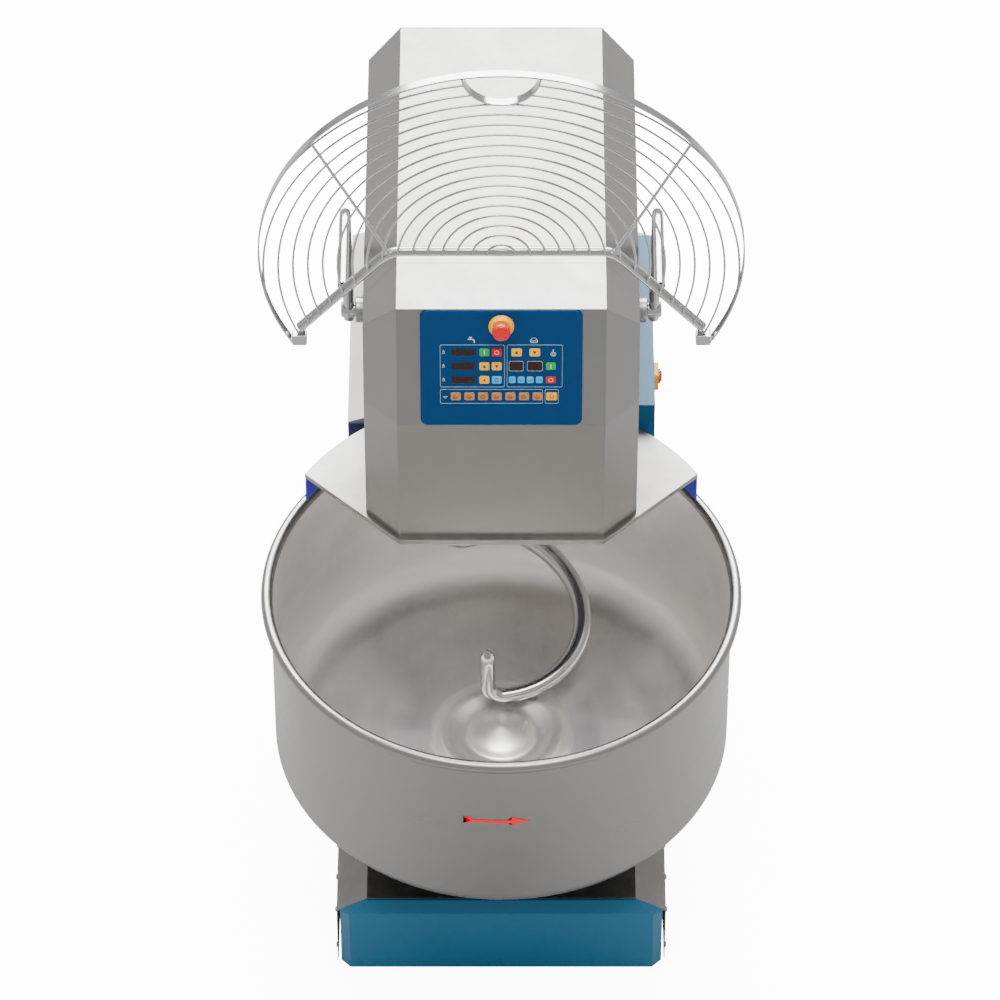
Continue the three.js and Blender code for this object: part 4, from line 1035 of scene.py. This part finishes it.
class MIXER_OT_panel(PieceOperator, bpy.types.Operator):
    """The control foil with its printed fields, dark displays, coloured keys and plain pictograms"""
    bl_idname = "mixer.panel"
    bl_label = "Control panel"

    def build(self, mixer):
        size = mixer.panel
        place = PanelPlace(size)
        colours = mixer.colours
        foil = material_for("blue_foil", colours)
        half_w, half_h = place.width / 2, place.height / 2
        bm = bmesh.new()
        outline = rectangle(-half_w + 0.0002, half_w - 0.0002, -half_h + 0.0002, half_h - 0.0002,
                            size.corner, 8)
        low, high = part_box("emergency_stop_button")
        middle = (low + high) / 2
        stop_v = (middle - place.face).dot(place.up)
        hole = arc(0, stop_v, 0.0116, 0, 360, 40)[:-1]
        MIXER_OT_cover.plate_with_hole(bm, outline, hole, -size.thickness, 0.0, place.on)
        finished("panel_foil", bm, foil, "machine", ("control_panel",), bevel=0.0008)
        self.fields(place)
        self.displays(place)
        self.keys(place, size, colours)
        self.symbols(place, size)

    def fields(self, place):
        """Lighter outlines round the groups of keys."""
        line = finish("Printed outline", (0.30, 0.48, 0.62), "Fine speckle", rough=(0.40, 0.55),
                      depth=0.00003,
                      variation=0.05, size=900.0, pits=0.3)
        bm = bmesh.new()
        boxes = ((-0.130, 0.007, -0.0475, 0.060), (0.0117, 0.1297, -0.0475, 0.060),
                 (-0.130, 0.0880, -0.0895, -0.0530),
                 (0.0925, 0.1215, -0.0895, -0.0530))
        for x0, x1, y0, y1 in boxes:
            outer = rectangle(x0, x1, y0, y1, 0.0035, 4)
            inner = rectangle(x0 + 0.0009, x1 - 0.0009, y0 + 0.0009, y1 - 0.0009, 0.0027, 4)
            self.frame(bm, outer, inner, 0.0001, 0.0005, place.on)
        finished("panel_field_outlines", bm, line, "machine")

    @staticmethod
    def frame(bm, outer, inner, low, high, place):
        """A closed flat frame between two outlines with the same number of points."""
        rings = [[bm.verts.new(place(u, v, w)) for u, v in outline]
                 for outline, w in ((outer, low), (outer, high), (inner, high), (inner, low))]
        count = len(outer)
        for a, b in zip(rings, rings[1:] + rings[:1]):
            for i in range(count):
                j = (i + 1) % count
                bm.faces.new((a[i], a[j], b[j], b[i]))

    def displays(self, place):
        glass = finish("Dark display window", (0.022, 0.010, 0.007), "Fine speckle", rough=(0.22, 0.34),
                       depth=0.00001, variation=0.2, gloss_level=0.2, size=300.0, pits=0.1)
        bezel = finish("Display frame", (0.28, 0.30, 0.33), "Fine speckle", rough=(0.35, 0.5), depth=0.00003,
                       size=900.0, pits=0.3)
        glass_bm, bezel_bm = bmesh.new(), bmesh.new()
        u, width, height = DISPLAY
        clocks = ((0.0316, 0.0060, 0.0280, 0.0225), (0.0712, 0.0060, 0.0300, 0.0225))
        for v in LEFT_ROWS:
            pad(glass_bm, key_shape(u, v, width, height), 0.0001, 0.0008, place.on, 0.0003)
        for u, v, width, height in clocks:
            pad(glass_bm, key_shape(u, v, width, height), 0.0001, 0.0008, place.on, 0.0003)
            outer = key_shape(u, v, width + 0.0030, height + 0.0030)
            inner = key_shape(u, v, width + 0.0010, height + 0.0010)
            self.frame(bezel_bm, outer, inner, 0.0001, 0.0010, place.on)
        finished("panel_display_windows", glass_bm, glass, "machine")
        finished("panel_display_frames", bezel_bm, bezel, "machine")

    def keys(self, place, size, colours):
        light_blue = (0.035, 0.36, 0.66)
        brown = (0.44, 0.19, 0.065)
        left, right = LEFT_KEYS, RIGHT_ROWS
        groups = {
            "green": (colours.green, [(left[0], LEFT_ROWS[0], 0.0213, 0.0200),
                                      (0.1050, right[1], 0.0215, 0.0190)]),
            "red": (colours.red, [(left[1], LEFT_ROWS[0], 0.0213, 0.0200),
                                  (0.1050, right[2], 0.0215, 0.0175)]),
            "yellow": (colours.yellow, [
                (left[0], LEFT_ROWS[1], 0.0213, 0.0200), (left[1], LEFT_ROWS[1], 0.0213, 0.0200),
                (left[0], LEFT_ROWS[2], 0.0213, 0.0195), (0.0324, right[0], 0.0222, 0.0200),
                (0.0708, right[0], 0.0228, 0.0200), (0.1069, -0.0710, 0.0230, 0.0200)]),
            "light_blue": (light_blue, [(left[1], LEFT_ROWS[2], 0.0213, 0.0195)] + [
                (u, right[2], 0.0150, 0.0170) for u in (0.0231, 0.0421, 0.0612, 0.0806)]),
            "brown": (brown, [(-0.0967 + PROGRAM_STEP * k, -0.0710, 0.0217, 0.0200) for k in range(7)]),
        }
        for name, (tone, places) in groups.items():
            label = f"{name.replace('_', ' ').capitalize()} key"
            material = finish(label, tone, "Fine speckle", rough=(0.46, 0.60), depth=0.00003, variation=0.05,
                              gloss_level=0.12, size=1000.0, pits=0.3)
            bm = bmesh.new()
            for u, v, width, height in places:
                pad(bm, key_shape(u, v, width, height), 0.0001, size.key_proud, place.on, 0.0006)
            finished(f"panel_keys_{name}", bm, material, "machine")

    def symbols(self, place, size):
        """Plain pictograms, without any lettering."""
        pale = finish("White print", (0.80, 0.82, 0.82), "Fine speckle", rough=(0.45, 0.6), depth=0.00002,
                      variation=0.03, size=900.0, pits=0.2)
        dark = finish("Dark print", (0.03, 0.03, 0.035), "Fine speckle", rough=(0.45, 0.6), depth=0.00002,
                      variation=0.05, size=900.0, pits=0.2)
        white, black = bmesh.new(), bmesh.new()
        top = size.key_proud

        def stroke(bm, points, thick, low=top):
            for (u0, v0), (u1, v1) in zip(points, points[1:]):
                way = Vector((u1 - u0, v1 - v0))
                side = Vector((-way.y, way.x)).normalized() * thick / 2
                extra = way.normalized() * thick * 0.35
                corners = [(u0 - extra.x - side.x, v0 - extra.y - side.y),
                           (u1 + extra.x - side.x, v1 + extra.y - side.y),
                           (u1 + extra.x + side.x, v1 + extra.y + side.y),
                           (u0 - extra.x + side.x, v0 - extra.y + side.y)]
                prism(bm, corners, low + 0.0001, low + 0.00025, place.on)

        def ring(bm, u, v, radius, thick, low=top, begin=0, end=360):
            points = arc(u, v, radius, begin, end, 22)
            stroke(bm, points, thick, low)

        def arrow(bm, u, v, up, tall=0.0085):
            prism(bm, [(u - tall * 0.5, v - up * tall * 0.4), (u + tall * 0.5, v - up * tall * 0.4),
                       (u, v + up * tall * 0.5)][::(1 if up > 0 else -1)], top + 0.0001, top + 0.00025,
                       place.on)

        stroke(white, [(LEFT_KEYS[0], LEFT_ROWS[0] - 0.005), (LEFT_KEYS[0], LEFT_ROWS[0] + 0.005)], 0.0016)
        ring(white, LEFT_KEYS[1], LEFT_ROWS[0], 0.0046, 0.0016)
        stroke(white, [(0.1050, RIGHT_ROWS[1] - 0.005), (0.1050, RIGHT_ROWS[1] + 0.005)], 0.0016)
        ring(white, 0.1050, RIGHT_ROWS[2], 0.0044, 0.0016)
        arrow(black, LEFT_KEYS[0], LEFT_ROWS[1], 1)
        arrow(black, LEFT_KEYS[1], LEFT_ROWS[1], -1)
        arrow(black, 0.0324, RIGHT_ROWS[0], 1)
        arrow(black, 0.0708, RIGHT_ROWS[0], -1)
        arrow(black, LEFT_KEYS[0], LEFT_ROWS[2], 1, 0.006)
        ring(black, LEFT_KEYS[1], LEFT_ROWS[2], 0.0040, 0.0012, begin=30, end=330)
        ring(black, 0.1069, -0.0710, 0.0042, 0.0014, begin=120, end=420)
        for k, u in enumerate((0.0231, 0.0421, 0.0612, 0.0806)):
            ring(black, u, RIGHT_ROWS[2], 0.0032, 0.0009, begin=90 * k, end=90 * k + 250)
        for k in range(7):
            u, v = -0.0967 + PROGRAM_STEP * k, -0.0710
            ring(black, u - 0.001, v - 0.001, 0.0042, 0.0012, begin=180, end=360)
            stroke(black, [(u - 0.0062, v - 0.001), (u + 0.0042, v - 0.001)], 0.0012)
            for dot in range(k % 3 + 1):
                ring(black, u - 0.003 + 0.0025 * dot, v + 0.003, 0.0005, 0.0010)
            ring(black, u + 0.0082, v + 0.0074, 0.0007, 0.0010)
        ring(white, -0.1190, -0.0720, 0.0036, 0.0010, 0.0, 180, 360)
        stroke(white, [(-0.1235, -0.0720), (-0.1145, -0.0720)], 0.0010, 0.0)

        # Beside the rows: drops, a tap, a loaf and a whisk, printed flat on the foil.
        flat = 0.0
        for v in LEFT_ROWS:
            ring(white, -0.1225, v - 0.0012, 0.0023, 0.0010, flat)
            stroke(white, [(-0.1246, v - 0.0002), (-0.1225, v + 0.0052), (-0.1204, v - 0.0002)], 0.0009, flat)
        stroke(white, [(-0.0700, 0.0740), (-0.0610, 0.0740), (-0.0570, 0.0700), (-0.0570, 0.0660)], 0.0022,
               flat)
        stroke(white, [(-0.0650, 0.0740), (-0.0650, 0.0790)], 0.0016, flat)
        stroke(white, [(-0.0680, 0.0790), (-0.0620, 0.0790)], 0.0014, flat)
        ring(white, 0.0690, 0.0700, 0.0070, 0.0013, flat, 0, 180)
        stroke(white, [(0.0610, 0.0700), (0.0770, 0.0700), (0.0750, 0.0655), (0.0630, 0.0655),
                       (0.0610, 0.0700)],
               0.0012, flat)
        stroke(white, [(0.1100, 0.0480), (0.1100, 0.0410)], 0.0016, flat)
        for wide in (0.0015, 0.0035, 0.0055):
            bulge = [(0.1100 + wide * math.sin(math.radians(a)), 0.0360 + 0.0055 * math.cos(math.radians(a)))
                     for a in range(0, 361, 20)]
            stroke(white, bulge, 0.0007, flat)
        finished("panel_symbols_white", white, pale, "machine")
        finished("panel_symbols_dark", black, dark, "machine")


# ---------------------------------------------------------------- stop button and main switch

class MIXER_OT_controls(PieceOperator, bpy.types.Operator):
    """The emergency stop on its yellow ring, and the main switch on the cabinet"""
    bl_idname = "mixer.controls"
    bl_label = "Stop button and main switch"

    def build(self, mixer):
        place = PanelPlace(mixer.panel)
        red = material_for("red_plastic", mixer.colours)
        yellow = material_for("yellow_plastic", mixer.colours)
        low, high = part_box("emergency_stop_collar")
        radius = (high.x - low.x) / 2
        middle = (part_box("emergency_stop_button")[0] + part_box("emergency_stop_button")[1]) / 2
        stop_v = (middle - place.face).dot(place.up)

        def out(x, y, z):
            return place.on(x, stop_v + y, z)

        seat = 0.0003
        collar = [(0.0116, seat), (radius - 0.0008, seat), (radius, seat + 0.0008), (radius, seat + 0.0052),
                  (radius - 0.0010, seat + 0.0064), (0.0225, seat + 0.0130), (0.0213, seat + 0.0138),
                  (0.0200, seat + 0.0138), (0.0195, seat + 0.0125), (0.0116, seat + 0.0120)]
        bm = bmesh.new()
        lathe(bm, collar, 72, out)
        finished("stop_ring", bm, yellow, "machine", ("emergency_stop_collar",), sharp=50)
        base = seat + 0.0205
        top = seat + 0.036
        mushroom = [(0.0, seat - 0.021), (0.0108, seat - 0.021), (0.0108, base), (0.0180, base + 0.0002),
                    (0.0192, base + 0.0012), (0.0195, base + 0.0028), (0.0194, top - 0.0075),
                    (0.0184, top - 0.0042),
                    (0.0164, top - 0.0020), (0.0135, top - 0.0009), (0.0130, top - 0.0014),
                    (0.0122, top - 0.0014),
                    (0.0117, top - 0.0008), (0.0060, top - 0.0003), (0.0, top - 0.0002)]
        bm = bmesh.new()
        lathe(bm, mushroom, 72, out)
        finished("stop_mushroom", bm, red, "stop_button", ("emergency_stop_button",), sharp=50)

        self.main_switch(mixer, red, yellow)

    def main_switch(self, mixer, red, yellow):
        low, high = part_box("main_switch_plate")
        middle = (low + high) / 2
        half = (high.y - low.y) / 2

        def side(u, v, w):
            return Vector((low.x + w, middle.y + u, middle.z + v))

        bm = bmesh.new()
        thick = high.x - low.x
        outer = rectangle(-half + 0.0002, half - 0.0002, -half + 0.0002, half - 0.0002, 0.006, 6)
        hole = arc(0, 0, 0.0072, 0, 360, 32)[:-1]
        MIXER_OT_cover.plate_with_hole(bm, outer, hole, 0.0, thick, side)
        finished("switch_bezel", bm, yellow, "machine", ("main_switch_plate",),
                 bevel=0.0015)
        knob_low, knob_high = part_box("main_switch_knob")
        foot = high.x + 0.0003 - low.x
        tall = knob_high.x - low.x
        bm = bmesh.new()
        lathe(bm, [(0.0, knob_low.x - low.x), (0.0058, knob_low.x - low.x), (0.0058, foot), (0.0165, foot),
                   (0.0170, foot + 0.0006), (0.0168, foot + 0.0034), (0.0155, foot + 0.0042),
                   (0.0, foot + 0.0042)],
              48, side)
        handle = rectangle(-0.0050, 0.0050, -0.0148, 0.0148, 0.0030, 5)
        pad(bm, handle, foot + 0.0010, tall, side, 0.0010)
        finished("switch_knob", bm, red, "switch_knob", ("main_switch_knob",), sharp=40)
        bm = bmesh.new()
        for spot in (-1, 1):
            for level in (-1, 1):
                u, v = spot * (half - 0.0060), level * (half - 0.0060)
                lathe(bm, [(0.0, thick), (0.0024, thick), (0.0022, thick + 0.0009), (0.0012, thick + 0.0009),
                           (0.0011, thick + 0.0003), (0.0, thick + 0.0003)], 20,
                      lambda x, y, z, u=u, v=v: side(u + x, v + y, z + 0.0001))
        finished("switch_plate_screws", bm, material_for("polished", mixer.colours), "machine")


# ---------------------------------------------------------------- screws and small fittings

def dome_screw(bm, place, radius, height, socket=0.45):
    """A domed head with a hexagon socket."""
    steps = 30
    profile = [(0.0, 0.0), (radius, 0.0), (radius * 0.97, height * 0.30), (radius * 0.86, height * 0.62),
               (radius * 0.68, height * 0.86), (radius * socket * 1.12, height * 0.98),
               (radius * socket, height * 0.96),
               (radius * socket * 0.96, height * 0.35), (0.0, height * 0.35)]
    lathe(bm, profile, steps, place)


class MIXER_OT_screws(PieceOperator, bpy.types.Operator):
    """Domed screws on the base's sides, on the head's lid and on the rear cover"""
    bl_idname = "mixer.screws"
    bl_label = "Screws"

    def build(self, mixer):
        bright = material_for("polished", mixer.colours)
        for side, sign in SIDES:
            for number in range(1, 5):
                name = f"casing_screw_{side}_{number}"
                low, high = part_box(name)
                middle = (low + high) / 2
                seat = low.x if sign > 0 else high.x
                radius = (high.z - low.z) / 2
                bm = bmesh.new()
                dome_screw(bm, along_x(seat, middle.y, middle.z, sign), radius, high.x - low.x)
                finished(f"{name}_head", bm, bright, "machine", (name,), sharp=50)
        low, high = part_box("rear_cover")
        bm = bmesh.new()
        for sx in (-1, 1):
            for share in (0.06, 0.5, 0.94):
                x = (low.x + high.x) / 2 + sx * ((high.x - low.x) / 2 - 0.016)
                z = low.z + (high.z - low.z) * share
                dome_screw(bm, lambda u, v, w, x=x, z=z: Vector((x + u, high.y + 0.0001 + w, z + v)),
                           0.006, 0.003)
        finished("rear_cover_screws", bm, bright, "machine")
        low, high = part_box("head_top_cover")
        bm = bmesh.new()
        for sx in (-1, 1):
            for share in (0.08, 0.5, 0.92):
                x = sx * 0.185
                y = low.y + (high.y - low.y) * share
                dome_screw(bm, lambda u, v, w, x=x, y=y: Vector((x + u, y + v, high.z - 0.0035 + w)),
                           0.006, 0.003)
        finished("roof_screws", bm, bright, "machine")


# ---------------------------------------------------------------- carried-over parts

class MIXER_OT_finishes(PieceOperator, bpy.types.Operator):
    """Gives every part that is shown as it was packed its own finish"""
    bl_idname = "mixer.finishes"
    bl_label = "Finishes of the casings and inner parts"

    def build(self, mixer):
        slots = {part["node"]: part["material_slot"] for part in frame["record"]["subparts"]}
        for name, part in frame["nodes"].items():
            material = material_for(slots[name], mixer.colours)
            # The column casing and the rear cover take the upright copy of the casing steel, which is painted
            # lighter to stand in for light on their shaded faces.
            if name in ("column_casing", "rear_cover"):
                material = stainless(mixer.colours, upright=True)
            part.data.materials.clear()
            part.data.materials.append(material)


# ---------------------------------------------------------------- floor, lights and camera

def area_light(name, spot, target, width, height, watts, tint=(1.0, 1.0, 1.0)):
    data = bpy.data.lights.new(name, "AREA")
    data.shape = "RECTANGLE"
    data.size = width
    data.size_y = height
    data.energy = watts
    data.color = tint
    lamp = bpy.data.objects.new(name, data)
    bpy.context.scene.collection.objects.link(lamp)
    lamp.location = spot
    lamp.rotation_euler = (Vector(target) - Vector(spot)).to_track_quat("-Z", "Y").to_euler()
    return lamp


class MIXER_OT_stage(PieceOperator, bpy.types.Operator):
    """A pale floor, soft lights and the camera above the front"""
    bl_idname = "mixer.stage"
    bl_label = "Stage"

    def build(self, mixer):
        scene = bpy.context.scene
        bm = bmesh.new()
        bmesh.ops.create_grid(bm, x_segments=1, y_segments=1, size=30.0)
        mesh = bpy.data.meshes.new("studio_floor")
        bm.to_mesh(mesh)
        bm.free()
        floor = bpy.data.objects.new("studio_floor", mesh)
        scene.collection.objects.link(floor)
        floor.location = (0, 0, -0.0005)
        pale = bpy.data.materials.new("Pale floor")
        pale.use_nodes = True
        shader = pale.node_tree.nodes["Principled BSDF"]
        shader.inputs["Roughness"].default_value = 0.7
        seen = add_node(pale.node_tree, "ShaderNodeLightPath")
        tone = mixed(pale.node_tree, seen.outputs["Is Glossy Ray"], FLOOR_TONE, FLOOR_MIRRORED)
        pale.node_tree.links.new(tone, shader.inputs["Base Color"])
        glow = mixed(pale.node_tree, seen.outputs["Is Camera Ray"], BLACK, WHITE)
        pale.node_tree.links.new(glow, shader.inputs["Emission Color"])
        shader.inputs["Emission Strength"].default_value = FLOOR_GLOW
        mesh.materials.append(pale)

        world = bpy.data.worlds.new("Studio")
        world.use_nodes = True
        around = add_node(world.node_tree, "ShaderNodeLightPath")
        sky = mixed(world.node_tree, around.outputs["Is Glossy Ray"], SKY_TONE, SKY_MIRRORED)
        backdrop = world.node_tree.nodes["Background"]
        world.node_tree.links.new(sky, backdrop.inputs[0])
        backdrop.inputs[1].default_value = SKY_STRENGTH
        scene.world = world
        area_light("Back panel", (0.0, 9.0, 10.5), (0.0, 0.0, 1.0), 14.0, 8.0, BACK_WATTS)
        area_light("Overhead panel", (0.0, -1.2, 7.0), (0.0, -0.4, 0.6), 4.0, 3.0, OVERHEAD_WATTS)

        data = bpy.data.cameras.new("Front above")
        data.sensor_width = 36.0
        data.lens = 217.26
        data.clip_end = 200.0
        camera = bpy.data.objects.new("Front above", data)
        scene.collection.objects.link(camera)
        camera.location = (-0.0028, -8.9883 + BOWL_Y, 10.4152)
        camera.rotation_euler = (math.radians(44.0), 0.0, 0.0)
        scene.camera = camera


# ---------------------------------------------------------------- sidebar and registration

class Mixer(bpy.types.PropertyGroup):
    bowl: PointerProperty(name="Bowl", description="Sizes of the bowl", type=BowlSizes)
    hook: PointerProperty(name="Hook", description="Sizes of the spiral", type=HookSizes)
    guard: PointerProperty(name="Guard", description="Sizes of the guard", type=GuardSizes)
    panel: PointerProperty(name="Panel", description="Sizes of the panel", type=PanelSizes)
    colours: PointerProperty(name="Colours", description="Base colours", type=Colours)


OPERATORS = (
    MIXER_OT_finishes,
    MIXER_OT_bowl,
    MIXER_OT_hook,
    MIXER_OT_guard,
    MIXER_OT_cover,
    MIXER_OT_panel,
    MIXER_OT_controls,
    MIXER_OT_screws,
    MIXER_OT_stage,
)


class MIXER_PT_sidebar(bpy.types.Panel):
    """Lists the sizes, the colours and the pieces"""
    bl_idname = "MIXER_PT_sidebar"
    bl_label = "Dough mixer"
    bl_space_type = "VIEW_3D"
    bl_region_type = "UI"
    bl_category = "Dough mixer"

    def draw(self, context):
        mixer = context.scene.dough_mixer
        for group in (mixer.bowl, mixer.hook, mixer.guard, mixer.panel, mixer.colours):
            box = self.layout.box()
            for key in group.bl_rna.properties.keys():
                if key not in ("rna_type", "name"):
                    box.prop(group, key)
        for operator in OPERATORS:
            self.layout.operator(operator.bl_idname)


CLASSES = (BowlSizes, HookSizes, GuardSizes, PanelSizes, Colours, Mixer) + OPERATORS + (MIXER_PT_sidebar,)


def register():
    for each in CLASSES:
        bpy.utils.register_class(each)
    bpy.types.Scene.dough_mixer = PointerProperty(type=Mixer)


def unregister():
    del bpy.types.Scene.dough_mixer
    for each in reversed(CLASSES):
        bpy.utils.unregister_class(each)


def main():
    register()
    bpy.ops.mixer.finishes()
    bpy.ops.mixer.bowl()
    bpy.ops.mixer.hook()
    bpy.ops.mixer.guard()
    bpy.ops.mixer.cover()
    bpy.ops.mixer.panel()
    bpy.ops.mixer.controls()
    bpy.ops.mixer.screws()
    bpy.ops.mixer.stage()


if __name__ == "__main__":
    main()
